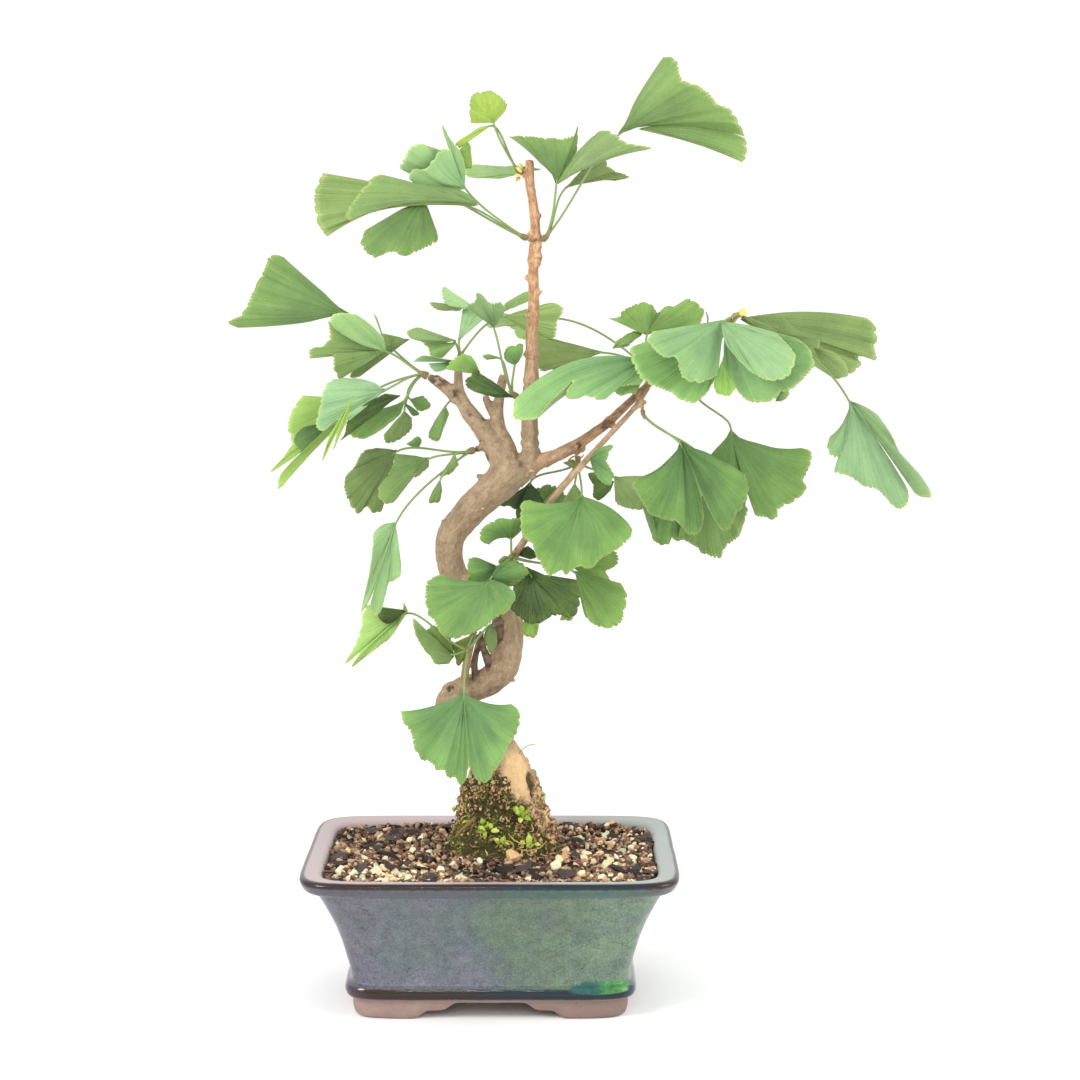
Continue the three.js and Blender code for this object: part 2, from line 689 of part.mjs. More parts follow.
function makeSpur({ spur }) {
  const line = new THREE.LineCurve3(at(...spur.from), at(...spur.to));
  return swept(line, () => spur.radius, 5, 1);
}

function makeSpray({ spur, leaves }) {
  const outward = spurAxis(spur);
  const foot = at(...spur.to).addScaledVector(outward, GAP);
  const line = new THREE.LineCurve3(foot, foot.clone().addScaledVector(outward, BUD_LENGTH));
  const swell = (t) => spur.radius * (0.9 + 0.9 * t * (1 - t) - 0.45 * t);
  const bud = swept(line, swell, 5, 2);
  const budCentre = foot.clone().addScaledVector(outward, BUD_LENGTH / 2);
  const pieces = leaves.flatMap((form, i) => [
    solidOf(makeBlade(form, i + 1)),
    makePetiole(form, i + 1, budCentre, outward),
  ]);
  return joined([bud, ...pieces]);
}

// ---------------------------------------------------------------- soil and moss

// Random numbers from a seed, the same on every run.
function seeded(seed) {
  let state = seed;
  return () => {
    state = (state * 16807) % 2147483647;
    return state / 2147483647;
  };
}

const fromRoot = (x, y) => Math.hypot(x - ROOT_X, y - TREE_DEPTH);

// The soil's top is level round the root and rolls gently elsewhere.
function soilHeight(x, y) {
  const away = smooth((fromRoot(x, y) - 30) / 25);
  const roll = Math.sin(0.09 * x + 0.6) * Math.cos(0.11 * y) + 0.6 * Math.sin(0.23 * x - 0.19 * y);
  return SOIL_TOP_Z + SOIL_BUMP * away * roll;
}

function makeSoil(rootHole, screens) {
  const clear = GAP + 0.2;
  const outlineIn = (inset, z) =>
    potOutline(POT_HALF_X - inset - clear, POT_HALF_Y - inset - clear, z);
  const walls = POT_SECTION.slice(-2).map(([z, inset]) =>
    outlineIn(inset, Math.max(z, FLOOR_Z + GAP)),
  );
  const brim = outlineIn(13.4, SOIL_TOP_Z);
  const top = [1, 0.8, 0.5].map((share) =>
    brim.map(({ x, y }) => new THREE.Vector3(x * share, y * share, soilHeight(x * share, y * share))),
  );
  const body = solidOf(skinned([...walls.reverse(), ...top]));
  const random = seeded(11);
  const grains = [];
  while (grains.length < GRAIN_COUNT) {
    const [x, y] = GRAIN_FIELD.map((side) => (random() - 0.5) * side);
    if (fromRoot(x, y) < ROOT_SPACE + 4) continue;
    const stone = new THREE.IcosahedronGeometry(2.4 + 2 * random(), 0);
    stone.scale(1, 0.8 + 0.3 * random(), 0.7);
    stone.rotateZ(6 * random());
    stone.translate(x, y, soilHeight(x, y));
    grains.push(solidOf(stone));
  }
  const level = column(ROOT_X, TREE_DEPTH, ROOT_SPACE, SOIL_TOP_Z, SOIL_TOP_Z + 5);
  return joined([body, ...grains]).subtract(joined([level, rootHole, screens]));
}

// The space round a drain screen that the soil leaves free.
function screenClearance(x) {
  const side = SCREEN_SIDE + 2 * GAP;
  return block(side, side, SCREEN_THICK + 4 * GAP, x, 0, FLOOR_Z + GAP + SCREEN_THICK / 2);
}

// Moss grows on the shaded left and front of the root, from the soil up.
function makeMoss(root) {
  const crust = limb(TRUNK.slice(0, 7), 16, 2, 3.4, 0.045);
  const [low, high, side] = [SOIL_TOP_Z + GAP, 110, 60];
  const shaded = new THREE.BoxGeometry(side, side, high - low);
  shaded.rotateZ(0.5);
  shaded.translate(-20, TREE_DEPTH - 16, (low + high) / 2);
  return mainBody(crust.intersect(solidOf(shaded)).subtract(root));
}

// ---------------------------------------------------------------- the object

const COLOURS = {
  pot: { color: 0x5f7f86, roughness: 0.25, metalness: 0 },
  drain_screen: { color: 0x26282a, roughness: 0.6, metalness: 0 },
  soil: { color: 0x3a2b22, roughness: 0.95, metalness: 0 },
  moss: { color: 0x4c5a1e, roughness: 0.95, metalness: 0 },
  trunk: { color: 0xa58468, roughness: 0.85, metalness: 0 },
  leaves: { color: 0x5f9a52, roughness: 0.6, metalness: 0 },
};

const plant = new THREE.Group();

function addNode(name, solid, colour) {
  const mesh = new THREE.Mesh(geometryOf(solid), new THREE.MeshStandardMaterial(COLOURS[colour]));
  mesh.name = name;
  plant.add(mesh);
}

const TRUNK_SIDES = 12;
const LIMB_SIDES = 6;
const wood = joined([
  limb(TRUNK, TRUNK_SIDES, 1, 0, 0.02),
  ...LIMBS.map((places) => limb(places, LIMB_SIDES, 1)),
  ...Object.values(SPRAYS).map(makeSpur),
]);
// The space that the soil and the moss leave free round the root, and under its cut bottom.
const rootPlaces = TRUNK.slice(0, 8);
const [rootX, rootZ, rootDepth, rootRadius] = TRUNK[0];
const underRoot = [rootZ - 3 * GAP, rootZ + 1].map((z) => [rootX, z, rootDepth, rootRadius]);
const rootClear = joined(
  [rootPlaces, underRoot].map((places) => limb(places, TRUNK_SIDES, 1, 2 * GAP, 0.02)),
);

addNode("pot", makePot(), "pot");
addNode("drain_screen_left", makeScreen(-DRAIN_X), "drain_screen");
addNode("drain_screen_right", makeScreen(DRAIN_X), "drain_screen");
const screenSpaces = [-DRAIN_X, DRAIN_X].map(screenClearance);
addNode("soil", mainBody(makeSoil(rootClear, joined(screenSpaces))), "soil");
addNode("moss", makeMoss(rootClear), "moss");
addNode("trunk", wood, "trunk");
for (const [name, spray] of Object.entries(SPRAYS)) {
  addNode(name, mainBody(makeSpray(spray)), "leaves");
}

// The frame's origin is under the middle of the whole object's box.
const object = new THREE.Group();
object.add(plant);
const box = new THREE.Box3().setFromObject(plant);
plant.position.set(-(box.min.x + box.max.x) / 2, -(box.min.y + box.max.y) / 2, -box.min.z);

export default object;
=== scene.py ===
# %% [markdown]
# # A ginkgo bonsai in its glazed pot
#
# The plant has already been built as plain solids, which hold its sizes, its weight and the way it
# rests. This lesson dresses them: thin fan leaves on their stalks, bark, moss, loose soil and a
# mottled glaze. The solids come first, and nothing that follows moves them.

import bpy
import numpy as np
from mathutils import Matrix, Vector


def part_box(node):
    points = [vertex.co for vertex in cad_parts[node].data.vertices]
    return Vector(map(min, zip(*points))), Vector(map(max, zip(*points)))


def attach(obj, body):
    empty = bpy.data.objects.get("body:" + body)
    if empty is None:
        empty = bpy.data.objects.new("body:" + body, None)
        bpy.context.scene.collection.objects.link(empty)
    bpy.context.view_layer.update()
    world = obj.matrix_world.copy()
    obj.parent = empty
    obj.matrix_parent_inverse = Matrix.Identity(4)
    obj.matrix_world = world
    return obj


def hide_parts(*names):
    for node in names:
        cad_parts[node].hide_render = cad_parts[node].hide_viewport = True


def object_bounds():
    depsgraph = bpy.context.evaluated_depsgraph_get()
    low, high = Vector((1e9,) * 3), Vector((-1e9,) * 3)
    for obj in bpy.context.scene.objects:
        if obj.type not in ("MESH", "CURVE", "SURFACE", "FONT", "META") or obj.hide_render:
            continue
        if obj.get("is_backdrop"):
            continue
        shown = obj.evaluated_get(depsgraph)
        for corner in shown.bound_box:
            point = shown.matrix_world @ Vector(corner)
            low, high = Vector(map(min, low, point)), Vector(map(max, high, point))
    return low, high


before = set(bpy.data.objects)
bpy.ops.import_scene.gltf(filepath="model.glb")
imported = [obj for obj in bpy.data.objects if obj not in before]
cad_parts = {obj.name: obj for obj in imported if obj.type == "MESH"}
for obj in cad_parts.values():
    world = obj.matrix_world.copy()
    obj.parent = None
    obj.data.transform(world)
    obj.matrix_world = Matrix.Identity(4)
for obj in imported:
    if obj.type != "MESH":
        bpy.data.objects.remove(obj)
cad_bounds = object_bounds()
print("solids:", ", ".join(sorted(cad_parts)))

# %% [markdown]
# ## Where things are
#
# A bonsai is set out from its pot, so every size below is in millimetres from the pot's middle,
# and one function turns them into the frame's metres. The plant is drawn on an upright plane, x
# across and z up, as it looks from one eye point. A third number is the depth behind the root. A
# place stays on its line of sight whatever its depth is, so depths keep leaves apart while the
# front view stays as it is drawn.

# %% Millimetres and the drawing plane
MM = 0.001
pot_low, pot_high = (np.array(corner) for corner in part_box("pot"))
POT_MIDDLE = (pot_low + pot_high) / 2 * [1, 1, 0]
EYE = np.array([26.4, -1200, 396])
TREE_DEPTH = 18
GAP = 0.3  # between pieces that touch


def in_frame(points):
    """Points in millimetres from the pot's middle, as metres in the frame."""
    return np.asarray(points) * MM + POT_MIDDLE


def at(places):
    """Places (x, z, depth) as points: a place on the plane y = 0, carried along its line of sight
    from EYE until it is TREE_DEPTH + depth behind the plane."""
    x, z, depth = np.moveaxis(np.asarray(places, float), -1, 0)
    on_plane = np.stack([x, 0 * x, z], -1)
    return EYE + (on_plane - EYE) * (1 - (TREE_DEPTH + depth) / EYE[1])[..., None]


print("the pot's middle is at x =", round(POT_MIDDLE[0] / MM, 2), "mm")

# %% [markdown]
# ## Meshes from arrays
#
# Bark, blades and soil are surfaces that a formula gives point by point, worked out on whole
# arrays. A Shape holds the points, the faces, and values that each point carries to its material,
# such as how young a leaf is. Shapes are joined before they become one Blender mesh.

# %% Shapes
class Shape:
    """Points in millimetres, faces as arrays of corner numbers, and named values of the points."""

    def __init__(self, points, faces, **values):
        self.points = np.asarray(points, float).reshape(-1, 3)
        self.faces = [np.asarray(group, int) for group in faces if len(group)]
        self.values = {}
        for name, value in values.items():
            value = np.asarray(value, float)
            self.values[name] = value + np.zeros((len(self.points), *value.shape[1:]))


def joined(shapes):
    """One shape of many: points and values are stacked, and corner numbers move up with them."""
    starts = np.cumsum([0] + [len(shape.points) for shape in shapes])
    faces = [group + start for shape, start in zip(shapes, starts) for group in shape.faces]
    names = shapes[0].values
    values = {name: np.concatenate([shape.values[name] for shape in shapes]) for name in names}
    return Shape(np.concatenate([shape.points for shape in shapes]), faces, **values)


def make(name, shape, material, smooth=True):
    """The shape as a Blender object whose place is in its mesh. A value called uv becomes the UV
    map, and the others become attributes."""
    mesh = bpy.data.meshes.new(name)
    corners = np.concatenate([group.ravel() for group in shape.faces])
    sizes = np.concatenate([np.full(len(group), group.shape[1]) for group in shape.faces])
    mesh.vertices.add(len(shape.points))
    mesh.vertices.foreach_set("co", in_frame(shape.points).ravel())
    mesh.loops.add(len(corners))
    mesh.loops.foreach_set("vertex_index", corners)
    mesh.polygons.add(len(sizes))
    mesh.polygons.foreach_set("loop_start", np.cumsum(sizes) - sizes)
    mesh.polygons.foreach_set("use_smooth", np.full(len(sizes), smooth))
    mesh.update(calc_edges=True)
    carry(mesh, shape.values, corners)
    mesh.materials.append(material)
    piece = bpy.data.objects.new(name, mesh)
    bpy.context.scene.collection.objects.link(piece)
    print(f"{name}: {int((sizes - 2).sum())} triangles")
    return piece


def carry(mesh, values, corners):
    """Writes the values of a mesh's points into its UV map and attributes."""
    for name, value in values.items():
        if name == "uv":
            mesh.uv_layers.new(name="uv").data.foreach_set("uv", value[corners].ravel())
        elif value.ndim == 2:
            mesh.attributes.new(name, "FLOAT_VECTOR", "POINT").data.foreach_set("vector", value.ravel())
        else:
            mesh.attributes.new(name, "FLOAT", "POINT").data.foreach_set("value", value)


def apply_modifiers(piece):
    """Puts the result of the modifiers in place of the mesh."""
    evaluated = piece.evaluated_get(bpy.context.evaluated_depsgraph_get())
    piece.data = bpy.data.meshes.new_from_object(evaluated)
    piece.modifiers.clear()


def dress(piece, slot, *nodes):
    """The piece rides on the plant's one body and stands for its nodes, which it hides. slot is not used."""
    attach(piece, "root")
    if nodes:
        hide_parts(*nodes)


# %% Grids
def grid_faces(rows, columns, wrap=False):
    """The quads of a grid of points laid row by row. wrap joins the last column to the first."""
    row = np.arange(rows - 1)[:, None] * columns
    first = np.arange(columns if wrap else columns - 1)[None, :]
    second = (first + 1) % columns
    quads = np.stack([row + first, row + second, row + second + columns, row + first + columns], -1)
    return quads.reshape(-1, 4)


def unit(vectors):
    """Vectors at length 1."""
    return vectors / np.maximum(np.linalg.norm(vectors, axis=-1, keepdims=True), 1e-9)


def end_caps(rows, columns):
    """The first and last rows of a wrapped grid, as two faces that close it."""
    row = np.arange(columns)[None]
    return [row[:, ::-1], (rows - 1) * columns + row]


print("a grid of 3 by 3 points has", len(grid_faces(3, 3)), "faces")


# %% Tubes
def section_frame(centres):
    """Two directions square to a path at each centre: the path crossed with a line that runs nearly
    away from the eye, and the path crossed with that."""
    along = unit(np.gradient(centres, axis=0))
    side = unit(np.cross(along, [0.0, 1.0, 0.02]))
    return side, np.cross(along, side)


def circle(side, up, sides):
    """The directions cos a side + sin a up, at even turns a."""
    turn = 2 * np.pi * np.arange(sides)[:, None] / sides
    return np.cos(turn) * side[:, None] + np.sin(turn) * up[:, None]


def tube(centres, radii, sides, **values):
    """A circle of a radius r carried along the centres, with a cap point at each end that closes it.
    Values given per centre are spread round the section."""
    centres = np.asarray(centres, float)
    count = len(centres)
    radii = np.broadcast_to(np.reshape(radii, (-1, 1)) if np.ndim(radii) < 2 else radii, (count, sides))
    points = centres[:, None] + radii[..., None] * circle(*section_frame(centres), sides)
    points = np.concatenate([points.reshape(-1, 3), centres[:1], centres[-1:]])
    quads = grid_faces(count, sides, wrap=True)
    corner = np.arange(sides)
    after, last, start = (corner + 1) % sides, (count - 1) * sides, 0 * corner + count * sides
    caps = np.concatenate([
        np.stack([after, corner, start], -1),
        np.stack([last + corner, last + after, start + 1], -1),
    ])
    spread = {}
    for name, value in values.items():
        value = np.asarray(value, float)
        if value.ndim and len(value) == count:
            value = np.concatenate([np.repeat(value, sides, axis=0), value[:1], value[-1:]])
        spread[name] = value
    return Shape(points, [quads, caps], **spread)


print("a tube of 3 rings of 8 has", len(tube([(0, 0, z) for z in (0, 1, 2)], 1, 8).points), "points")


# %% Curves and noise
def through(points, steps):
    """A smooth curve through the points: a centripetal Catmull-Rom spline, each stretch being a
    cubic whose end slopes come from the neighbours, at steps + 1 even shares of the way."""
    points = np.asarray(points, float)
    whole = np.concatenate([2 * points[:1] - points[1:2], points, 2 * points[-1:] - points[-2:-1]])
    place = np.linspace(0, len(points) - 1, steps + 1)
    first = np.minimum(place.astype(int), len(points) - 2)
    share = (place - first)[:, None]
    a, b, c, d = (whole[first + i] for i in range(4))
    gaps = (b - a, c - b, d - c)
    before, between, after = (np.sqrt(np.linalg.norm(gap, axis=1, keepdims=True)) for gap in gaps)
    leave = ((b - a) / before - (c - a) / (before + between) + (c - b) / between) * between
    arrive = ((c - b) / between - (d - b) / (between + after) + (d - c) / after) * between
    cubic = 2 * b - 2 * c + leave + arrive
    square = -3 * b + 3 * c - 2 * leave - arrive
    return b + share * (leave + share * (square + share * cubic))


def smooth(share):
    """0 below 0 and 1 above 1, with a soft S between: s s (3 - 2 s)."""
    share = np.clip(share, 0, 1)
    return share * share * (3 - 2 * share)


def lump(points, size, seed):
    """Smooth noise from about -1 to 1: sines of the point along eight random directions, whose
    phases a second, finer set of sines disturbs."""
    draw = np.random.default_rng(seed)
    total = 0
    for _ in range(8):
        direction = unit(draw.normal(size=3)) / size * draw.uniform(0.7, 1.5)
        twist = unit(draw.normal(size=3)) / size * 1.9
        phase, turn = draw.uniform(0, 2 * np.pi, 2)
        total = total + np.sin(points @ direction * 2 + phase + 1.3 * np.sin(points @ twist * 2 + turn))
    return total / 3


print("a curve round a corner:", through([(0, 0), (1, 0), (1, 1)], 4).round(2).tolist())

# %% [markdown]
# ## Finishes as formulas
#
# Every finish here is worked out from where a point is, so it needs no pictures. A node tree is
# hard to read as a list of links, so one small class wraps an output socket: sums written with it
# add Math nodes, and a whole recipe reads like the formula it is. A Finish makes every other node.

# %% Sockets that can be used in sums
class Value:
    """An output socket. + - * and / on it, with a number or another Value, add a Math node."""

    def __init__(self, finish, socket):
        self.finish, self.socket = finish, socket

    def math(self, operation, *terms):
        return self.finish.node("Math", {"operation": operation}, dict(enumerate(terms)))

    def __add__(self, other):
        return self.math("ADD", self, other)

    def __sub__(self, other):
        return self.math("SUBTRACT", self, other)

    def __mul__(self, other):
        return self.math("MULTIPLY", self, other)

    def __truediv__(self, other):
        return self.math("DIVIDE", self, other)

    def __rsub__(self, other):
        return self.math("SUBTRACT", other, self)

    __radd__ = __add__
    __rmul__ = __mul__

    def power(self, exponent):
        return self.math("POWER", self, exponent)

    def sine(self):
        return self.math("SINE", self)

    def step(self, low, high):
        """0 at low and 1 at high, with a soft S between. low may be the larger."""
        inputs = {"Value": self, "From Min": low, "From Max": high}
        return self.finish.node("MapRange", {"interpolation_type": "SMOOTHSTEP"}, inputs)


print("a Value has", *(name for name in vars(Value) if name[0] != "_"))


# %% Finishes
class Finish:
    """A material with one Principled shader. node() adds any node and returns its output."""

    def __init__(self, name):
        self.material = bpy.data.materials.new(name)
        self.material.use_nodes = True
        self.tree = self.material.node_tree
        self.shader = self.tree.nodes["Principled BSDF"]

    def node(self, kind, settings=None, inputs=None, output=0):
        """A node of a kind, with its settings made first and then its inputs, which are numbers,
        colours or Values."""
        node = self.tree.nodes.new("ShaderNode" + kind)
        for name, setting in (settings or {}).items():
            setattr(node, name, setting)
        for name, value in (inputs or {}).items():
            self.feed(node.inputs[name], value)
        return Value(self, node.outputs[output])

    def feed(self, socket, value):
        if isinstance(value, Value):
            self.tree.links.new(value.socket, socket)
        else:
            socket.default_value = (*value, 1) if np.ndim(value) and socket.type == "RGBA" else value

    def paint(self, **inputs):
        """Feeds the shader's sockets: Base_Color=... reaches Base Color."""
        for name, value in inputs.items():
            self.feed(self.shader.inputs[name.replace("_", " ")], value)

    def attribute(self, name, output="Fac"):
        return self.node("Attribute", {"attribute_name": name}, output=output)

    def place(self):
        """Object coordinates as millimetres from the pot's middle."""
        coordinates = self.node("TexCoord", output="Object")
        inputs = {"Vector": coordinates, "Location": tuple(-POT_MIDDLE / MM), "Scale": (1 / MM,) * 3}
        return self.node("Mapping", inputs=inputs)

    def part(self, vector, axis):
        return self.node("SeparateXYZ", inputs={"Vector": vector}, output=axis)

    def vector(self, operation, first, second):
        return self.node("VectorMath", {"operation": operation}, {0: first, 1: second})

    def stretch(self, vector, scale):
        return self.vector("MULTIPLY", vector, scale)

    def noise(self, vector, scale, detail=3.0, rough=0.5, output=0):
        inputs = {"Vector": vector, "Scale": scale, "Detail": detail, "Roughness": rough}
        return self.node("TexNoise", inputs=inputs, output=output)

    def cells(self, vector, scale, feature="F1"):
        inputs = {"Vector": vector, "Scale": scale}
        return self.node("TexVoronoi", {"feature": feature}, inputs, "Distance")

    def mix(self, share, first, second, blend="MIX"):
        """Colours: first at share 0 and second at share 1."""
        settings = {"data_type": "RGBA", "blend_type": blend}
        return self.node("Mix", settings, {0: share, 6: first, 7: second}, output=2)

    def layers(self, colour, *layers):
        """A colour under others. Each layer is a pair: the share that it covers, and its colour."""
        for share, other in layers:
            colour = self.mix(share, colour, other)
        return colour

    def lit(self, colour, light):
        """A colour times a light, which is 1 where the colour stays as it is."""
        grey = self.node("CombineXYZ", inputs={0: light, 1: light, 2: light})
        return self.mix(1.0, colour, grey, "MULTIPLY")

    def ramp(self, stops, place):
        """The colour at a place on a ramp, whose stops are pairs of a place and a colour."""
        ramp = self.node("ValToRGB", inputs={"Fac": place})
        elements = ramp.socket.node.color_ramp.elements
        while len(elements) < len(stops):
            elements.new(0.5)
        for element, (position, colour) in zip(elements, stops):
            element.position, element.color = position, (*colour, 1)
        return ramp

    def bump(self, height, strength=1.0):
        """The normal over a height in millimetres."""
        return self.node("Bump", inputs={"Height": height, "Strength": strength, "Distance": MM})


print("a Finish has", *(name for name in vars(Finish) if name[0] != "_"))

# %% [markdown]
# ## The pot
#
# A glazed bonsai pot is pressed in a mould: its plan is a rectangle with soft corners, which a
# superellipse gives in one formula, and its wall flares out in a hollow curve from a bead above
# the feet to a rolled rim. So the body is one outline, drawn in by a section's insets and lifted
# to its heights. The points run evenly round the outline, so that small dents show evenly too.

# %% The body
POT_HALF = np.array([100.0, 75.0])
POT_SQUARENESS = 9
POT_FLOOR = 16
POT_SECTION = np.array([
    (10, 26), (11.5, 23.2), (14.5, 22.2), (17.5, 23.2), (19, 25), (22, 25.2), (34, 22.6), (50, 17.6),
    (62, 12.2), (70, 8), (71.4, 7), (72.2, 3.6), (73.2, 2.2), (76, 0.6), (78.4, 0), (79.8, 0.9),
    (80.2, 3), (79.9, 6), (79.3, 9.4), (78, 10.9), (75, 11.8), (50, 21), (20, 28.6), (POT_FLOOR, 33),
])  # heights, and how far the outline is drawn in
POT_AROUND = 250
BEAD_PLACE, SEAM_PLACE, RIM_PLACE, LIP_PLACE = 2, 10.2, 14, 17  # places in the section
FIRED_DENT = 0.12  # mm


def even_turns(count):
    """Turns whose points lie evenly round the pot's outline, read off its running length."""
    turns = np.linspace(0, 2 * np.pi, 20001)
    points = superellipse(turns, POT_HALF)
    length = np.cumsum(np.r_[0, np.linalg.norm(np.diff(points, axis=0), axis=1)])
    return np.interp(np.arange(count) / count * length[-1], length, turns)


def superellipse(turns, half):
    """Points whose x and y are the half widths times a cosine and a sine to a small power."""
    both = np.stack([np.cos(turns), np.sin(turns)], -1)
    return half * np.sign(both) * np.abs(both) ** (2 / POT_SQUARENESS)


def near(value, middle, half_width):
    """1 at the middle, falling off in a bell on both sides."""
    return np.exp(-(((value - middle) / half_width) ** 2))


def make_pot_body():
    """The section is smoothed, and ring by ring the outline is drawn in and lifted."""
    section = through(POT_SECTION, 6 * (len(POT_SECTION) - 1))
    way = np.linspace(0, len(POT_SECTION) - 1, len(section))
    turns = even_turns(POT_AROUND)
    rings = []
    for height, inset in section:
        flat = superellipse(turns, POT_HALF - inset)
        rings.append(np.column_stack([flat, np.full(POT_AROUND, height)]))
    points = np.concatenate(rings)
    outward = points / np.linalg.norm(points[:, :2], axis=1, keepdims=True) * [1, 1, 0]
    points = points + FIRED_DENT * lump(points, 14, 3)[:, None] * outward
    quads = grid_faces(len(section), POT_AROUND, wrap=True)
    values = {
        "rim": near(way, RIM_PLACE + 0.6, 1.1),
        "band": near(way, RIM_PLACE - 1.3, 1.5),
        "bead": near(way, BEAD_PLACE, 1.0),
        "lip": smooth((way - LIP_PLACE + 1.6) / 0.8),
        "seam": near(way, SEAM_PLACE, 0.45),
    }
    values = {name: np.repeat(value, POT_AROUND) for name, value in values.items()}
    return Shape(points, [quads, *end_caps(len(section), POT_AROUND)], **values)


print("the pot is", POT_SECTION[:, 0].max(), "mm high")

# %% [markdown]
# ## The glaze
#
# This glaze is thin and dark where it breaks over an edge, and milky where it lies thick. Down the
# wall it shifts from lilac grey at one end, through grey-blue, to green at the other. Under the
# gloss it is mottled, with a net of fine cracks. At one corner it has run and pooled. The left end
# and the lower left corner are darkened with painted shade.

# %% Glaze colours
LILAC_GREY = (0.160, 0.155, 0.190)
BLUE_GREY = (0.120, 0.142, 0.152)
GREY_GREEN = (0.118, 0.172, 0.112)
SEA_GREEN = (0.150, 0.215, 0.150)
LIP_LILAC = (0.45, 0.365, 0.365)
LIP_GREEN = (0.34, 0.375, 0.345)
BREAK_BROWN = (0.024, 0.009, 0.006)
BREAK_BLUE = (0.006, 0.014, 0.022)
BAND_LILAC = (0.070, 0.062, 0.080)
BAND_TEAL = (0.028, 0.080, 0.072)
POOL_TEAL = (0.015, 0.085, 0.085)
POOL_GREEN = (0.06, 0.26, 0.045)
POOL_X, POOL_Z = 60, 16  # mm
print("the darkest glaze and the palest:", BREAK_BLUE, LIP_LILAC)


# %% The glaze finish
def bent(finish, where, scale, amount):
    """The place moved about by colour noise, so that a pattern of straight lines wanders."""
    centred = finish.vector("SUBTRACT", finish.noise(where, scale, 2.0, output=1), (0.5, 0.5, 0.5))
    return finish.vector("ADD", where, finish.stretch(centred, (amount,) * 3))


def make_glaze_finish():
    glaze = Finish("glaze")
    where = glaze.place()
    x, y, z = (glaze.part(where, axis) for axis in range(3))
    broad = glaze.noise(where, 0.028, 3) - 0.5
    mottle = glaze.noise(where, 0.16, 6, 0.72) - 0.5
    fine = glaze.noise(where, 1.1, 4, 0.7) - 0.5
    # The wall: four greys from end to end, stained, mottled and cracked, and darker towards its left end with
    # painted shade.
    way = x + broad * 150 + mottle * 40
    green_end = way.step(-20, 40)
    low = (z + broad * 50 + mottle * 30).step(48, 18)
    stain = glaze.noise(glaze.stretch(where, (0.05, 0.05, 0.09)), 1.0, 5, 0.7)
    body = glaze.layers(
        LILAC_GREY,
        (way.step(-75, -10), BLUE_GREY),
        (way.step(-25, 30), GREY_GREEN),
        (way.step(20, 90), SEA_GREEN),
        (low * (1 - way.step(0, 60)) * 0.6, (0.150, 0.150, 0.195)),
        (stain.step(0.50, 0.66) * 0.42, (0.078, 0.120, 0.128)),
        (stain.step(0.46, 0.30) * (1 - green_end) * 0.6, (0.215, 0.180, 0.235)),
        (stain.step(0.46, 0.32) * green_end * 0.5, (0.160, 0.235, 0.130)),
    )
    net = bent(glaze, where, 0.5, 1.6)
    cracks = glaze.cells(net, 0.55, "DISTANCE_TO_EDGE").step(0.07, 0.0)
    wide_cracks = glaze.cells(net, 0.13, "DISTANCE_TO_EDGE").step(0.02, 0.0)
    scars = glaze.noise(glaze.stretch(where, (0.09, 0.09, 0.3)), 1.0, 5, 0.75).step(0.66, 0.76)
    flecks = glaze.noise(glaze.stretch(where, (0.5, 0.5, 0.8)), 1.0, 3, 0.6).step(0.58, 0.70)
    light = 1 + mottle * 1.15 + fine * 1.2 - cracks * 0.34 - wide_cracks * 0.30 - scars * 0.45
    # The left end is darkened: painted shade.
    body = glaze.lit(body, light + flecks * 0.20 - x.step(-46, -86) * 0.27)
    # The lip, the edges where the glaze breaks, a dark corner at the right, painted shade at the lower left
    # corner, and the pool.
    freckles = glaze.noise(where, 0.9, 2).step(0.70, 0.76) * 0.7
    lip = glaze.layers(LIP_LILAC, ((x + broad * 60).step(-10, 90), LIP_GREEN), (freckles, (0.10, 0.07, 0.06)))
    edge_way = (x + broad * 160 + mottle * 60).step(-60, 35) * (x + mottle * 30).step(92, 70)
    broken = glaze.attribute("rim") + glaze.attribute("bead")
    broken = (broken + mottle * 0.6 + fine * 0.35).step(0.22, 0.60)
    front = y.step(-30, -45)
    corner = (x + mottle * 9 - z * 0.25).step(66, 74) * (z + mottle * 14).step(40, 16) * front
    # Painted shade: the lower left corner is darkened.
    left_corner_shade = (x + mottle * 12 + z * 0.25).step(-58, -70) * (z + mottle * 16).step(48, 18) * front
    pool_x = ((x - POOL_X + broad * 20) / 16).power(2)
    pool_z = ((z - POOL_Z - 0.02 * x) / (4.4 - (z - POOL_Z).step(0, -1) * 1.8)).power(2)
    pool = (pool_x + pool_z + mottle * 1.1 + fine * 0.4).step(1.15, 0.6) * front
    pool_colour = glaze.mix((x + mottle * 26 + fine * 8).step(52, 68), POOL_TEAL, POOL_GREEN)
    under = z.step(11.6, 10.6)
    body = glaze.layers(
        body,
        (glaze.attribute("lip"), lip),
        (glaze.attribute("band") * (0.75 + mottle * 1.2), glaze.mix(edge_way, BAND_LILAC, BAND_TEAL)),
        (glaze.attribute("seam") * (0.55 + mottle), (0.20, 0.20, 0.21)),
        (broken, glaze.mix(edge_way, BREAK_BROWN, BREAK_BLUE)),
        (corner * 0.75, (0.030, 0.055, 0.115)),
        (left_corner_shade * 0.5, (0.075, 0.055, 0.075)),
        (pool * 0.9, glaze.lit(pool_colour, 1 + mottle * 1.6 + fine * 1.2)),
        (under, (0.33, 0.22, 0.17)),
    )
    glaze.paint(
        Base_Color=body,
        Roughness=0.24 + glaze.attribute("lip") * 0.26 + under * 0.45 + fine * 0.15 - broken * 0.12,
        Normal=glaze.bump(mottle * 0.10 + fine * 0.035 - cracks * 0.02, 0.8),
        Coat_Weight=0.18 - under * 0.18,
        Coat_Roughness=0.06,
        Specular_IOR_Level=0.35,
    )
    return glaze.material


glazed = make_glaze_finish()
print("the glaze has", len(glazed.node_tree.nodes), "nodes")


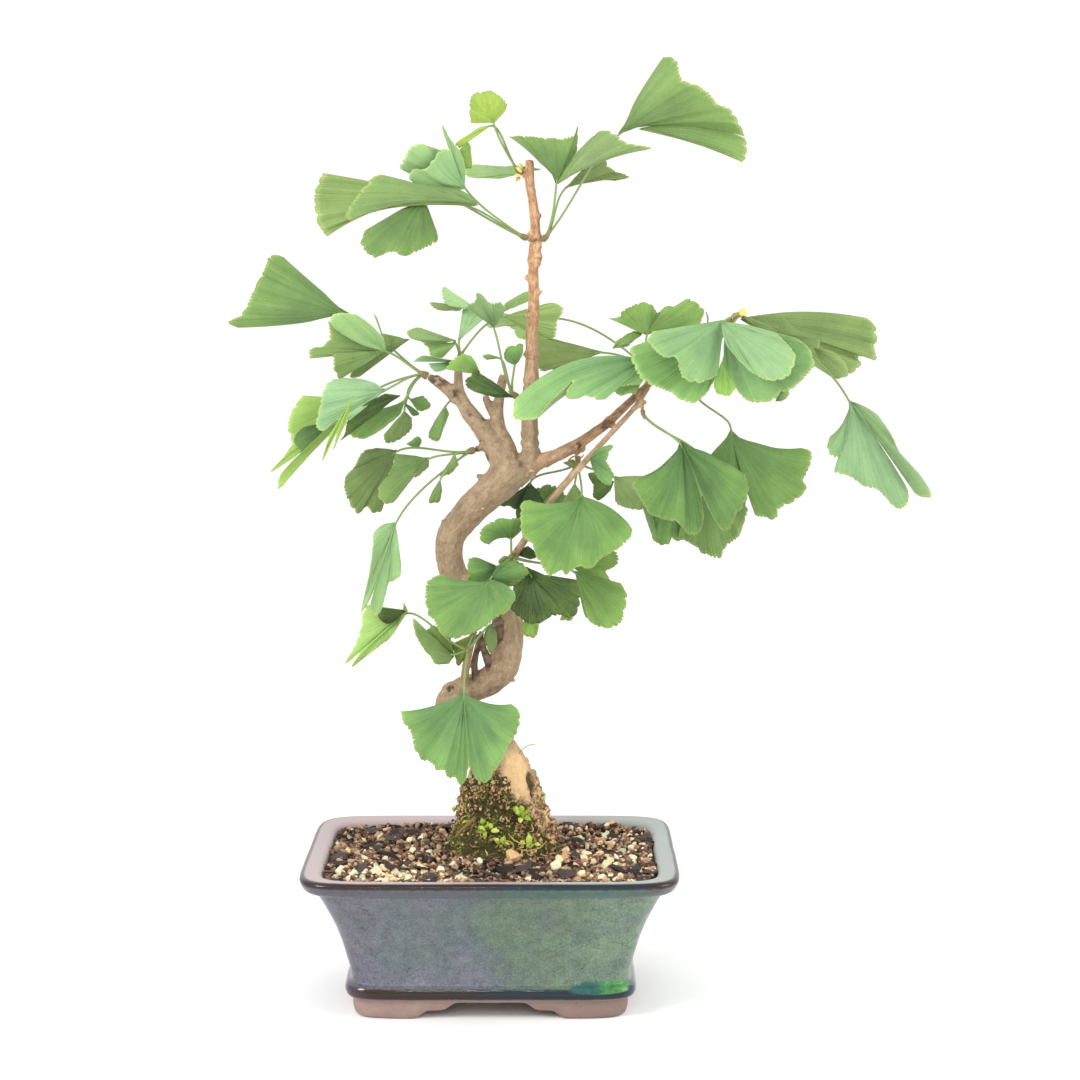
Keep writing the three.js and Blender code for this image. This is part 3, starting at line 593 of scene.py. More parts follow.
# %% The pot and its drain holes
def cut(piece, tool):
    """Takes the tool's volume out of the piece, and the tool away."""
    boolean = piece.modifiers.new("cut", "BOOLEAN")
    boolean.operation, boolean.solver, boolean.object = "DIFFERENCE", "EXACT", tool
    apply_modifiers(piece)
    bpy.data.objects.remove(tool)


pot_body = make("pot_body", make_pot_body(), glazed)
DRAIN_X, DRAIN_RADIUS = 34, 7  # mm
for x in (-DRAIN_X, DRAIN_X):
    drill = tube([(x, 0, z) for z in (2, 12, 22)], DRAIN_RADIUS, 48)
    cut(pot_body, make("drill", drill, glazed))
dress(pot_body, "glaze", "pot")

# %% [markdown]
# ## The feet
#
# The foot ring is bare clay, cut away in an arch on each side, which leaves four feet. It is a
# closed loop of wall section carried round the outline: where an arch is, the section's bottom is
# simply higher. The arch climbs in two soft steps on its way from the ground to its crown.

# %% The feet
FOOT_HALF = np.array([74.0, 49.5])
FOOT_TOP = 12
ARCH_TOP = 8.5
ARCHES = ((42.0, 18.0), (26.0, 9.0))  # half widths at ground and crown, on the long and short sides
FOOT_SECTION = np.array([
    (0, 1, 0), (0.2, 0.5, 0), (0.7, 0, 2.4), (1.1, 0, 1.2), (1.9, 0, 0.35), (3, 0, 0), (9, 0, 0),
    (10.4, 0, 0.3), (11.3, 0, 1.2), (12, 0.5, 0), (12, 0.9, 0),
])  # inset, share of the height left above the bottom, and mm above the bottom


def arch_height(along, ground, crown):
    """How high an arch has climbed: two soft steps between its ground and its crown."""
    share = (ground - np.abs(along)) / (ground - crown)
    steps = smooth(share / 0.35) + smooth(share / 0.35 - 1.85)
    return ARCH_TOP * (0.45 * steps + 0.1 * np.clip(share, 0, 1))


def make_foot_ring():
    """Each ring of the section is drawn in by its inset, and stands on the arches' line."""
    turns = even_turns(POT_AROUND)
    outline = superellipse(turns, FOOT_HALF)
    long_side = np.abs(outline[:, 1]) / FOOT_HALF[1] > np.abs(outline[:, 0]) / FOOT_HALF[0]
    heights = [arch_height(outline[:, axis], *ARCHES[axis]) for axis in (0, 1)]
    bottom = np.where(long_side, *heights)
    section = through(FOOT_SECTION, 30)
    rings = []
    for inset, share, above in section:
        flat = superellipse(turns, FOOT_HALF - inset)
        lift = bottom + share * (FOOT_TOP - bottom) + np.minimum(above, FOOT_TOP - bottom - 0.5)
        rings.append(np.column_stack([flat, np.maximum(lift, 0)]))
    points = np.concatenate(rings)
    points[:, :2] += 0.1 * lump(points, 9, 8)[:, None]
    quads = grid_faces(len(section), POT_AROUND, wrap=True)
    start = np.arange(POT_AROUND)
    end = start + (len(section) - 1) * POT_AROUND
    close = np.stack([end, np.roll(end, -1), np.roll(start, -1), start], -1)
    return Shape(points, [quads[:, ::-1], close[:, ::-1]])


print("an arch is", round(float(arch_height(0, *ARCHES[0])), 1), "mm high")


# %% Bare clay
def make_clay_finish():
    clay = Finish("bare_clay")
    where = clay.place()
    cloud = clay.noise(where, 0.12, 5, 0.6) - 0.5
    grain = clay.noise(where, 2.2, 3, 0.7) - 0.5
    pits = clay.cells(where, 0.22).step(0.10, 0.05)
    colour = clay.layers(
        (0.255, 0.168, 0.135),
        (0.5 + cloud * 1.6, (0.36, 0.255, 0.222)),
        # The right side of the feet is darker: painted shade.
        (clay.part(where, 0).step(0, 60) * 0.55, (0.17, 0.11, 0.085)),
        (clay.part(where, 2).step(9, 12) * 0.6, (0.34, 0.27, 0.25)),
        (pits * 0.75, (0.10, 0.06, 0.05)),
    )
    height = grain * 0.10 + cloud * 0.12 - pits * 0.2
    clay.paint(Base_Color=colour, Roughness=0.72 + grain * 0.3, Normal=clay.bump(height, 0.9))
    return clay.material


dress(make("pot_feet", make_foot_ring(), make_clay_finish()), "glaze")

# %% [markdown]
# ## The soil
#
# Bonsai soil is loose: bark crumbs, flat black chips and pale angular pumice on a bed of fine
# peat. A noisy surface alone would look like felt, so the bed carries thousands of separate
# grains. They are copies of one small faceted body, each with its own stretch, turn and dents,
# all worked out in one array.

# %% The bed
SOIL_TOP = 74.5
BRIM_INSET = 12.6
ROOT_X, ROOT_Y = 7, TREE_DEPTH
SOIL_AROUND = 240


def soil_height(x, y):
    """The soil's top: level, with a slight rise along the rim and a mound round the root."""
    edge = np.maximum(np.abs(x) / (POT_HALF[0] - BRIM_INSET), np.abs(y) / (POT_HALF[1] - BRIM_INSET))
    mound = 1.6 * np.exp(-((np.hypot(x - ROOT_X, y - ROOT_Y) / 42) ** 4))
    place = np.stack([x, y, 0 * x], -1)
    bumps = 0.7 * lump(place, 12, 4) + 0.35 * lump(place, 3, 5)
    return SOIL_TOP + 2.4 * smooth((edge - 0.72) / 0.26) + mound + bumps


def make_soil_bed():
    """The top in rings that shrink towards the middle, and the wall and floor below it."""
    turns = even_turns(SOIL_AROUND)
    brim = superellipse(turns, POT_HALF - BRIM_INSET)
    rings = [
        np.column_stack([superellipse(turns, POT_HALF - inset), np.full(SOIL_AROUND, height)])
        for height, inset in ((POT_FLOOR + GAP, 31), (50, 21.8), (SOIL_TOP - 1, BRIM_INSET + 0.1))
    ]
    for share in np.linspace(1, 0.02, 46):
        x, y = (brim * share).T
        rings.append(np.column_stack([x, y, soil_height(x, y)]))
    quads = grid_faces(len(rings), SOIL_AROUND, wrap=True)
    return Shape(np.concatenate(rings), [quads, *end_caps(len(rings), SOIL_AROUND)], tone=0.0)


print("the soil lies", round(POT_SECTION[:, 0].max() - SOIL_TOP, 1), "mm below the brim")


# %% One grain
def faceted_body():
    """A ball of 18 points and 32 faces: an octahedron whose edges are halved once."""
    corners = np.array([(1, 0, 0), (0, 1, 0), (-1, 0, 0), (0, -1, 0), (0, 0, 1), (0, 0, -1)], float)
    sides = [(0, 1, 4), (1, 2, 4), (2, 3, 4), (3, 0, 4), (1, 0, 5), (2, 1, 5), (3, 2, 5), (0, 3, 5)]
    edges = sorted({tuple(sorted((side[i], side[i - 1]))) for side in sides for i in range(3)})
    middles = unit(np.array([corners[a] + corners[b] for a, b in edges]))
    number = {edge: 6 + i for i, edge in enumerate(edges)}
    faces = []
    for a, b, c in sides:
        ab, bc, ca = (number[tuple(sorted(pair))] for pair in ((a, b), (b, c), (c, a)))
        faces += [(a, ab, ca), (b, bc, ab), (c, ca, bc), (ab, bc, ca)]
    return np.concatenate([corners, middles]), np.array(faces)


print("a grain has", len(faceted_body()[1]), "faces")


# %% Many grains
def any_turns(count, draw):
    """Rotation matrices of random unit quaternions."""
    w, x, y, z = unit(draw.normal(size=(count, 4))).T
    rows = [
        [1 - 2 * (y * y + z * z), 2 * (x * y - z * w), 2 * (x * z + y * w)],
        [2 * (x * y + z * w), 1 - 2 * (x * x + z * z), 2 * (y * z - x * w)],
        [2 * (x * z - y * w), 2 * (y * z + x * w), 1 - 2 * (x * x + y * y)],
    ]
    return np.moveaxis(np.array(rows), -1, 0)


def make_grains(places, sizes, draw, rough, lie_flat=0.0):
    """One faceted body at each place. Its corners move in and out by rough, and it is stretched by
    its sizes along three axes and turned. lie_flat, up to 1, takes away its tilt."""
    body, faces = faceted_body()
    count = len(places)
    dents = 1 + rough * draw.uniform(-1, 1, (count, len(body), 1))
    points = body[None] * dents * sizes[:, None, :]
    turns = any_turns(count, draw)
    about_z = draw.uniform(0, 2 * np.pi, count)
    c, s, o = np.cos(about_z), np.sin(about_z), np.zeros(count)
    flat = np.moveaxis(np.array([[c, -s, o], [s, c, o], [o, o, o + 1]]), -1, 0)
    if lie_flat:
        tilted = flat + (1 - lie_flat) * 0.35 * (turns - flat)
        turns = np.linalg.qr(tilted)[0] * np.sign(np.linalg.det(tilted))[:, None, None]
    points = np.einsum("nij,npj->npi", turns, points) + places[:, None]
    corners = faces[None] + (np.arange(count) * len(body))[:, None, None]
    tone = np.repeat(draw.uniform(0, 1, count), len(body))
    return Shape(points.reshape(-1, 3), [corners.reshape(-1, 3)], tone=tone)


ROOT_CLEAR = 24  # mm from the root's middle


def scatter(count, draw, lift, crowd=None):
    """Random places on the soil, clear of the root. crowd gives the chance that a place is kept."""
    places = np.zeros((0, 2))
    while len(places) < count:
        new = draw.uniform(-1, 1, (4 * count, 2)) * (POT_HALF - BRIM_INSET - 0.3)
        keep = np.hypot(new[:, 0] - ROOT_X, new[:, 1] - ROOT_Y) > ROOT_CLEAR
        corner = (np.abs(new / (POT_HALF - BRIM_INSET)) ** 9).sum(1) < 0.95
        if crowd is not None:
            keep &= draw.uniform(size=len(new)) < crowd(new[:, 0], new[:, 1])
        places = np.concatenate([places, new[keep & corner]])
    x, y = places[:count].T
    return np.column_stack([x, y, soil_height(x, y) + lift])


print("a place on the soil:", scatter(1, np.random.default_rng(1), 0).round(1))


# %% [markdown]
# ## Bark, chips and pumice
#
# Each kind of grain has its own colours. The number that a grain carries picks its place on a ramp
# of the colours found in a handful of the real thing.

# %% Soil finishes
def make_grain_finish(name, stops, pit, roughness):
    """A ramp of colours picked by the grain's tone, with pits and a fine grain."""
    stuff = Finish(name)
    where = stuff.place()
    cloud = stuff.noise(where, 0.9, 4, 0.65) - 0.5
    fine = stuff.noise(where, 4.0, 3, 0.7) - 0.5
    colour = stuff.ramp(stops, stuff.attribute("tone") + cloud * 0.22)
    stuff.paint(
        Base_Color=stuff.lit(colour, 1 + cloud * 0.8 + fine * pit),
        Roughness=roughness + fine * 0.2,
        Normal=stuff.bump(cloud * 0.35 + fine * pit * 0.25),
        Specular_IOR_Level=0.3,
    )
    return stuff.material


PEAT = [(0.0, (0.014, 0.009, 0.007)), (0.5, (0.07, 0.038, 0.024)), (1.0, (0.15, 0.08, 0.05))]
BARK_CRUMB = [
    (0.0, (0.020, 0.012, 0.010)), (0.35, (0.145, 0.080, 0.048)), (0.7, (0.32, 0.190, 0.115)),
    (1.0, (0.62, 0.44, 0.28)),
]
BLACK_CHIP = [(0.0, (0.018, 0.013, 0.011)), (1.0, (0.085, 0.066, 0.058))]
PUMICE = [
    (0.0, (0.50, 0.27, 0.13)), (0.2, (0.76, 0.50, 0.25)), (0.4, (0.90, 0.70, 0.42)),
    (0.65, (0.90, 0.82, 0.58)), (0.85, (0.70, 0.73, 0.46)), (1.0, (0.52, 0.50, 0.36)),
]
peat = make_grain_finish("peat", PEAT, 0.8, 0.9)
bark_crumb = make_grain_finish("bark_crumb", BARK_CRUMB, 0.7, 0.85)
black_chip = make_grain_finish("black_chip", BLACK_CHIP, 0.7, 0.85)
pumice = make_grain_finish("pumice", PUMICE, 0.5, 0.8)
print("soil finishes:", peat.name, bark_crumb.name, black_chip.name, pumice.name)


# %% The bed and its grains
def pumice_crowd(x, y):
    """Pumice lies thickest at the left front and along the right, and thinnest before the root."""
    left = np.exp(-(((x + 50) / 32) ** 2) - ((y + 35) / 40) ** 2)
    right = np.exp(-(((x - 70) / 26) ** 2))
    return 0.03 + 0.8 * left + 0.5 * right


BARK_COUNT, FINES_COUNT, STRAND_COUNT, CHIP_COUNT, PUMICE_COUNT = 2500, 1900, 700, 130, 310
LARGE_STONES = [((11.5, -13, 78.5), (5.6, 4.4, 3.9), 0.2), ((35, -31, 78), (3.4, 3.1, 2.8), 0.68)]


def make_soil(draw):
    """The bed and four kinds of grain. The first fines are drawn out into strands, and the first
    stones are the two large ones, whose places, sizes and tones are given."""
    dress(make("soil_bed", make_soil_bed(), peat), "soil", "soil")
    places = scatter(BARK_COUNT, draw, 0.2)
    sizes = draw.uniform(0.7, 2.3, (BARK_COUNT, 1)) * draw.uniform(0.5, 1.3, (BARK_COUNT, 3))
    grains = {"bark": (make_grains(places, sizes, draw, 0.35), bark_crumb)}
    places = scatter(FINES_COUNT, draw, 1.0)
    sizes = draw.uniform(0.3, 0.8, (FINES_COUNT, 1)) * draw.uniform(0.6, 1.6, (FINES_COUNT, 3))
    sizes[:STRAND_COUNT] *= [5.5, 0.5, 0.45]
    grains["fines"] = make_grains(places, sizes, draw, 0.3, lie_flat=0.3), bark_crumb
    places = scatter(CHIP_COUNT, draw, 1.3)
    sizes = draw.uniform(1.6, 5.4, (CHIP_COUNT, 1)) * np.array([1.3, 0.8, 0.2])
    sizes = sizes * draw.uniform(0.8, 1.3, (CHIP_COUNT, 3))
    grains["chips"] = make_grains(places, sizes, draw, 0.3, lie_flat=0.5), black_chip
    places = scatter(PUMICE_COUNT, draw, 1.2, crowd=pumice_crowd)
    sizes = 0.65 + 2.0 * draw.uniform(0, 1, (PUMICE_COUNT, 1)) ** 1.7
    sizes = sizes * draw.uniform(0.6, 1.35, (PUMICE_COUNT, 3))
    for i, (place, size, _) in enumerate(LARGE_STONES):
        places[i], sizes[i] = place, size
    stones = make_grains(places, sizes, draw, 0.3)
    corners = len(stones.points) // PUMICE_COUNT
    for i, (_, _, tone) in enumerate(LARGE_STONES):
        stones.values["tone"][i * corners:(i + 1) * corners] = tone
    grains["pumice"] = stones, pumice
    for name, (shape, material) in grains.items():
        dress(make("soil_" + name, shape, material, smooth=False), "soil")


make_soil(np.random.default_rng(21))

# %% [markdown]
# ## The leaves
#
# A ginkgo leaf is a fan: its veins all start at the stalk and fork outwards, so nothing crosses it,
# and its outer edge is scalloped and often cleft. Real leaves curl and fold as they hang, and each
# does it in its own way. So the outer edge of each leaf is drawn as it looks from the front,
# and formulas add what every leaf shares: teeth, scallops, pleats, a ruffle and a thickness.
#
# The blade is a surface of two numbers, u across the fan and v from stalk to edge, because every
# feature of the real leaf follows one of them.

# %% The form of one leaf
LEAF_FORM = {
    "bows": (0, 0), "neck": 0.5, "bulge": 2, "wave": 1.2, "ragged": 1, "stalk": True, "by": None,
    "under": 0, "young": 0, "olive": 0, "pale": 0, "tone": 0,
}


def leaf(apex, edge, deep=None, **form):
    """A leaf whose stalk ends at the place apex. edge gives the points of its outer edge on the
    drawing plane, counted from the apex, as x, z, x, z and so on. deep gives the edge's depth at its
    start, middle and end, bows how far the two straight sides bow outwards, bulge how far the blade
    swells towards the eye, and wave the height of the ruffle, all in mm. neck is the share by which
    the blade narrows at the stalk, and ragged scales the teeth. by is a place that a long stalk
    passes. under is 1 where the underside shows. young, olive and pale are shares of those greens,
    and tone is lighter above 0 and darker below."""
    # tone and pale are partly painted light and shade: leaves in shade get a low tone, lit ones a high tone
    # or pale green.
    edge = np.reshape(edge, (-1, 2)) + apex[:2]
    return {"apex": apex, "edge": edge, "deep": deep or (apex[2],) * 3, **LEAF_FORM, **form}


def panel(apex, edge, deep=None, **form):
    """A panel of a folded leaf, which has no stalk of its own."""
    return leaf(apex, edge, deep, stalk=False, **form)


sample = leaf((0, 0, 0), (-20, 30, 0, 40, 20, 30))
print("a leaf has", *sample)

# %% The outer edge
SCALLOP, TOOTH = (7.0, 1.7), (3.0, 1.5)  # length and depth in mm


def scalloped(run, pitch, wander, seed):
    """Round lobes with sharp gaps between: the root of a sine's size, whose phase wanders."""
    phase = np.pi * run / pitch + wander * np.sin(run / pitch + seed) + 1.7 * seed
    return np.abs(np.sin(phase)) ** 0.5 - 0.75


def edge_places(form, share, seed):
    """The outer edge as places (x, z, depth) at even shares of its length, and the length. A smooth
    curve is laid through the drawn points, and teeth are added to it along the lines from the apex.
    Its depth is the parabola through the three depths of the form."""
    apex = np.array(form["apex"], float)
    deep = form["deep"]
    drawn = through(form["edge"], 8 * len(form["edge"]))
    run = np.concatenate([[0], np.cumsum(np.linalg.norm(np.diff(drawn, axis=0), axis=1))])
    x, z = (np.interp(share * run[-1], run, column) for column in drawn.T)
    away = unit(np.stack([x - apex[0], z - apex[1]], -1))
    along = share * run[-1]
    round_share = 0.5 + 0.5 * np.sin(along / 8 + 2.3 * seed + 1.4 * np.sin(along / 3.1))
    bumps = SCALLOP[1] * round_share * scalloped(along, SCALLOP[0], 1.5, seed)
    bumps = bumps + TOOTH[1] * (1.2 - round_share) * scalloped(along, TOOTH[0], 2.2, 2 * seed)
    bumps = bumps * form["ragged"] * smooth(14 * share) * smooth(14 * (1 - share)) * min(1, run[-1] / 30)
    rest = 1 - share
    depth = deep[0] * rest * (1 - 2 * share) + 4 * deep[1] * share * rest + deep[2] * share * (2 * share - 1)
    return np.stack([x + bumps * away[..., 0], z + bumps * away[..., 1], depth], -1), run[-1]


print("the edge of a leaf 40 mm wide is", round(edge_places(sample, np.array([0.5]), 1)[1]), "mm long")


# %% The blade's surface
def blade_surface(form, seed, u, v):
    """The blade's middle surface: apex + v (edge - apex). Near the stalk the part square to the
    fan's axis is narrowed. The sides bow by 4 v (1 - v) of their bow, fading across the fan. The
    blade swells towards the eye, and pleats and a ruffle that grows outwards are added to that."""
    apex = np.array(form["apex"], float)
    share = (u + 1) / 2
    edge, length = edge_places(form, share, seed)
    reach = edge - apex
    middle = edge_places(form, np.array([0.3, 0.5, 0.7]), seed)[0].mean(0) - apex
    axis = unit(middle * [1, 1, 0])
    straight = (reach @ axis)[..., None] * axis
    narrow = 1 - form["neck"] * (1 - smooth(v / 0.42))[..., None]
    places = apex + v[..., None] * (straight + narrow * (reach - straight))
    side = unit(np.stack([-reach[..., 1], reach[..., 0], 0 * v], -1))
    turning = np.sign(np.cross(form["edge"][0] - apex[:2], form["edge"][-1] - apex[:2])) or 1
    bow = 4 * v * (1 - v) * (form["bows"][1] * share**3 - form["bows"][0] * (1 - share) ** 3)
    places = places + (turning * bow)[..., None] * side
    size = np.linalg.norm(middle[:2])
    pleats = 0.010 * size * v * np.sin(13 * u + 2.2 * np.sin(3 * u + seed) + seed)
    ruffle = v**2 * np.sin(4.3 * u + seed) + 0.4 * v**5 * np.sin(0.16 * length * u + 3 * seed)
    ruffle = form["wave"] * ruffle
    swell = form["bulge"] * np.sin(np.pi * np.minimum(v, 1)) * (1 - 0.6 * u**2)
    return at(places + np.stack([0 * v, 0 * v, -(pleats + ruffle + swell)], -1))


print("the middle of its edge is at", blade_surface(sample, 1, np.zeros(1), np.ones(1)).round(1))


# %% [markdown]
# ## From surface to blade
#
# The front and back of a blade are the same surface moved apart, and a rim closes them. Each point
# carries what its finish needs: where it lies between the veins, whether it is on the underside,
# how far out it is, and how young its leaf is. A stalk is a tube that leaves the bud, bends over
# and runs into the blade.

# %% Blades and stalks
def leaf_values(count, uv=0.0, **given):
    """The values that every point of a spray carries."""
    names = ("under", "out", "stalk", "brown", "tone", "young", "olive", "pale")
    values = {name: np.zeros(count) + given.get(name, 0.0) for name in names}
    return {"uv": np.zeros((count, 2)) + uv, **values}


def make_blade(form, seed, tone):
    """Both faces of a blade, half a thickness either side of its middle surface, and its rim. A
    larger leaf has more rows and columns, and the rows crowd towards the edge."""
    _, length = edge_places(form, np.array([0.5]), seed)
    reach = np.linalg.norm(np.subtract(form["edge"], form["apex"][:2]), axis=1).max()
    columns = int(np.clip(length / 0.52, 21, 191)) | 1
    rows = int(np.clip(reach / 4.5 + 4, 6, 12))
    u, v = np.meshgrid(np.linspace(-1, 1, columns), 0.02 + 0.98 * np.linspace(0, 1, rows) ** 0.8)
    middle = blade_surface(form, seed, u, v)
    normal = unit(np.cross(np.gradient(middle, axis=0), np.gradient(middle, axis=1)))
    facing = np.sign(np.sum(normal * (EYE - middle)))
    half = (0.34 - 0.2 * smooth(v * 1.3))[..., None]
    points = np.concatenate([(middle + side * half * facing * normal).reshape(-1, 3) for side in (1, -1)])
    size = rows * columns
    index = np.arange(size).reshape(rows, columns)
    loop = np.concatenate([index[0], index[1:, -1], index[-1, -2::-1], index[-2:0:-1, 0]])
    after = np.roll(loop, -1)
    rim = np.stack([loop, after, after + size, loop + size], -1)
    quads = grid_faces(rows, columns)
    faces = [quads[:, ::-1], quads + size, rim]
    if facing < 0:
        faces = [group[:, ::-1] for group in faces]
    vein = np.stack([u * length / 200 + 5 + seed, v], -1).reshape(-1, 2)
    values = leaf_values(
        2 * size, uv=np.tile(vein, (2, 1)), out=np.tile(v.ravel(), 2), tone=tone,
        under=np.repeat([form["under"], 1.0 - form["under"]], size),
        **{name: form[name] for name in ("young", "olive", "pale")},
    )
    return Shape(points, faces, **values)


def bezier(points, steps):
    """The cubic Bezier curve of four points: their mean weighted by the cubes of its share."""
    t = np.linspace(0, 1, steps + 1)[:, None]
    a, b, c, d = points
    return (1 - t) ** 3 * a + 3 * t * (1 - t) ** 2 * b + 3 * t**2 * (1 - t) * c + t**3 * d


def make_stalk(form, seed, bud, outward, tone):
    """A stalk from the bud into the blade, thicker where it leaves the bud and at the blade."""
    v = np.array([0.0, 0.12])
    start, end = blade_surface(form, seed, 0 * v, v)
    arriving = unit(end - start)
    span = np.linalg.norm(end - bud)
    leaving = unit(0.5 * outward + unit(end - bud))
    if form["by"]:
        centres = through([bud, at(form["by"]), end - 0.12 * span * arriving, end], 20)
    else:
        centres = bezier([bud, bud + 0.35 * span * leaving, end - 0.3 * span * arriving, end], 20)
    t = np.linspace(0, 1, 21)
    radius = 0.60 + 0.5 * np.exp(-t * span / 2.5) - 0.16 * smooth(6 * t - 5)
    radius = np.minimum(radius, 0.5 + 0.012 * span)
    values = leaf_values(21, stalk=1, tone=tone, young=form["young"], brown=0.5 * np.exp(-t * 6), out=t)
    return tube(centres, radius, 7, **values)


print("a blade has", len(make_blade(sample, 1, 0).points), "points")

# %% [markdown]
# ## The green of a leaf
#
# The upper face is a soft green that turns yellower towards the edge, where the blade is thin. The
# underside is a duller, olive green. Veins are fine ridges that fork, so there are twice as many of
# them in the outer half, and the tissue between them is streaked the same way. Leaves that are just
# out are yellow-green, and some old ones are bluish and pale. Each leaf's tone, and on some leaves
# the pale green, is partly painted light and shade: leaves that lie in shade are made darker, and
# leaves that face the light lighter.

# %% The leaf finish
UPPER_GREEN = (0.109, 0.226, 0.065)
UPPER_EDGE_GREEN = (0.176, 0.333, 0.077)
UNDER_GREEN = (0.180, 0.262, 0.088)
UNDER_EDGE_GREEN = (0.245, 0.335, 0.112)
OLIVE_GREEN = (0.190, 0.255, 0.085)
PALE_GREEN = (0.215, 0.345, 0.175)
YOUNG_GREEN = (0.31, 0.44, 0.075)
STALK_GREEN = (0.21, 0.31, 0.105)
BUD_BROWN = (0.20, 0.115, 0.055)
MARGIN_GREEN = (0.36, 0.48, 0.14)
VEIN_PITCH = 1.0  # mm between veins at the outer edge


def make_leaf_finish():
    stuff = Finish("leaf")
    where = stuff.place()
    vein_map = stuff.node("UVMap", {"uv_map": "uv"})
    across = stuff.part(vein_map, 0) * (2 * np.pi * 100 / VEIN_PITCH)
    out = stuff.attribute("out")
    under = stuff.attribute("under")
    stalk_share = stuff.attribute("stalk")
    outer_half = out.step(0.42, 0.58)
    veins = (across * 0.5).sine() * (1 - outer_half) + across.sine() * outer_half
    streaks = stuff.noise(stuff.stretch(vein_map, (90, 1.2, 0)), 1.0, 4, 0.6) - 0.5
    bands = stuff.noise(stuff.stretch(vein_map, (14, 0.9, 0)), 1.0, 3, 0.5) - 0.5
    broad = stuff.noise(where, 0.07, 2) - 0.5
    cloud = stuff.noise(where, 0.6, 4, 0.6) - 0.5
    rim = (out + broad * 0.5 + bands * 0.5).step(0.40, 1.12)
    margin = (out + cloud * 0.02).step(0.955, 0.99)
    green = stuff.layers(
        stuff.mix(rim, UPPER_GREEN, UPPER_EDGE_GREEN),
        (under, stuff.mix(rim, UNDER_GREEN, UNDER_EDGE_GREEN)),
        (stuff.attribute("olive"), OLIVE_GREEN),
        (stuff.attribute("pale"), PALE_GREEN),
        (margin * 0.55, MARGIN_GREEN),
        (stuff.attribute("young"), YOUNG_GREEN),
    )
    light = 1 + veins * 0.10 + streaks * 0.60 + bands * 0.45 + cloud * 0.25 + broad * 0.35
    # The tone darkens or lightens each leaf: partly its own green, partly painted light and shade.
    green = stuff.lit(green, light + stuff.attribute("tone") * 0.3)
    stalk = stuff.mix(stuff.attribute("brown"), STALK_GREEN, BUD_BROWN)
    height = (veins * (under + 0.8) * 0.06 + streaks * 0.25) * (1 - stalk_share) + cloud * 0.12
    stuff.paint(
        Base_Color=stuff.mix(stalk_share, green, stalk),
        Roughness=0.50 + under * 0.12,
        Normal=stuff.bump(height, 0.7),
        Specular_IOR_Level=0.25,
    )
    return stuff.material


leaf_material = make_leaf_finish()
print("the leaf finish has", len(leaf_material.node_tree.nodes), "nodes")

# %% [markdown]
# ## Where the leaves stand
#
# Each spur of the wood carries one spray, and each spray is one piece. A spray is given its spur,
# from foot to tip with its radius, and then its leaves. The leaves of the crown come first.

# %% The crown's sprays
SPRAYS = {}


def spray(name, spur, *leaves):
    """Keeps the spur and the leaves of a spray under its name."""
    SPRAYS[name] = spur, leaves


spray("crown_tip", [(21, 441, 0), (17, 444, -2), 1.7],
    leaf((2, 470, -6), [-12, 0, -12, 11, -10, 15, -4, 16, 0, 16, 7, 9, 5, 5, 2, 2], (-6, -9, -4), young=1,
        wave=0.6, tone=-0.2),
    leaf((1, 469, -5), [-17, -12, -19, -10, -12, -5, -6, -1], young=1, wave=0.4, neck=0.2, tone=0.2),
    panel((-12, 461, -5), [2, -3, 2, -15, -2, -13, -4, -5], young=0.6, neck=0),
    leaf((27, 446, 12), [-14, 2, -25, 1, -38, 2, -40, -3, -22, -5], olive=0.7, wave=0.5, neck=0.2, pale=0.4,
        tone=2.2))
spray("crown_left", [(24, 408, 0), (19.5, 410, -3), 1.7],
    panel((-18, 439, -6), [-25, 5, -29, 8, -26, 14, -23, 19, -18, 20, -8, 17], (-8, -18, -16), pale=0.5,
        olive=0.6, tone=1.8),
    leaf((-13, 436, -10), [-27, 3, -30, 6, -27, 10, -21, 10, -16, 16, -13, 20, -8, 21, -11, 28, -12, 33,
        -8, 26, -2, 18, 0, 11], (-16, -20, -12), olive=0.3, pale=0.5, tone=1.2, bows=(4, 0)),
    leaf((-6, 427, -4), [-80, -16, -83, -13, -86, -2, -86, 7, -82, 17], (4, 10, 12), neck=0.2, olive=0.8,
        bows=(-9, 1), tone=0.4),
    panel((-6, 427, -12), [-68, -8, -70, -5, -67, 1, -60, 10, -53, 16, -48, 15, -43, 10, -37, 12, -20, 8],
        (-28, -24, -14), neck=0.2, olive=0.6, pale=0.1, tone=0.4, bows=(-6, 4)),
    leaf((-35, 432, 2), [-31, -18, -33, -25, -26, -32, -18, -29, -11, -31, -2, -28, 7, -23, 7, -19, 4, -13],
        (2, -6, 4), olive=0.3))
spray("crown_right", [(24, 406, 0), (27.5, 409, -2), 1.7],
    leaf((35, 438, -6), [-25, 25, -17, 25, -4, 24, 5, 24, 10, 26, 11, 30, 11, 18], (-14, -6, -8),
        bows=(-2, 1), wave=2, olive=0.4, tone=-0.3),
    panel((35, 438, -10), [11, 17, 18, 24, 24, 28, 31, 26, 36, 22, 50, 19, 40, 17], (-14, -18, -16),
        bows=(0, -5), neck=0.2, olive=0.8, pale=0.2, tone=0.3),
    leaf((39, 436, 6), [13, 13, 19, 16, 22, 14, 25, 10, 34, 6, 27, 4], (8, 12, 14), bows=(0, -2), olive=0.9,
        tone=-0.3),
    leaf((67, 464, -4), [24, 40, 30, 39, 32, 33, 34, 28, 40, 26, 47, 22, 52, 16, 59, 13, 62, 9, 67, -1],
        (-14, -20, -10), bows=(1, -5), wave=2, olive=0.5, tone=0.2),
    panel((78, 467, -6), [56, -5, 57, -9, 55, -17, 48, -13, 34, -9, 26, -6], (-8, -14, -10), bows=(5, -1),
        neck=0.1, olive=0.5, tone=0.1))
print("sprays so far:", *SPRAYS)

# %% [markdown]
# The left branch holds the most folded leaves. A folded leaf is drawn as its panels, one behind the
# other, and only the first of them has a stalk.

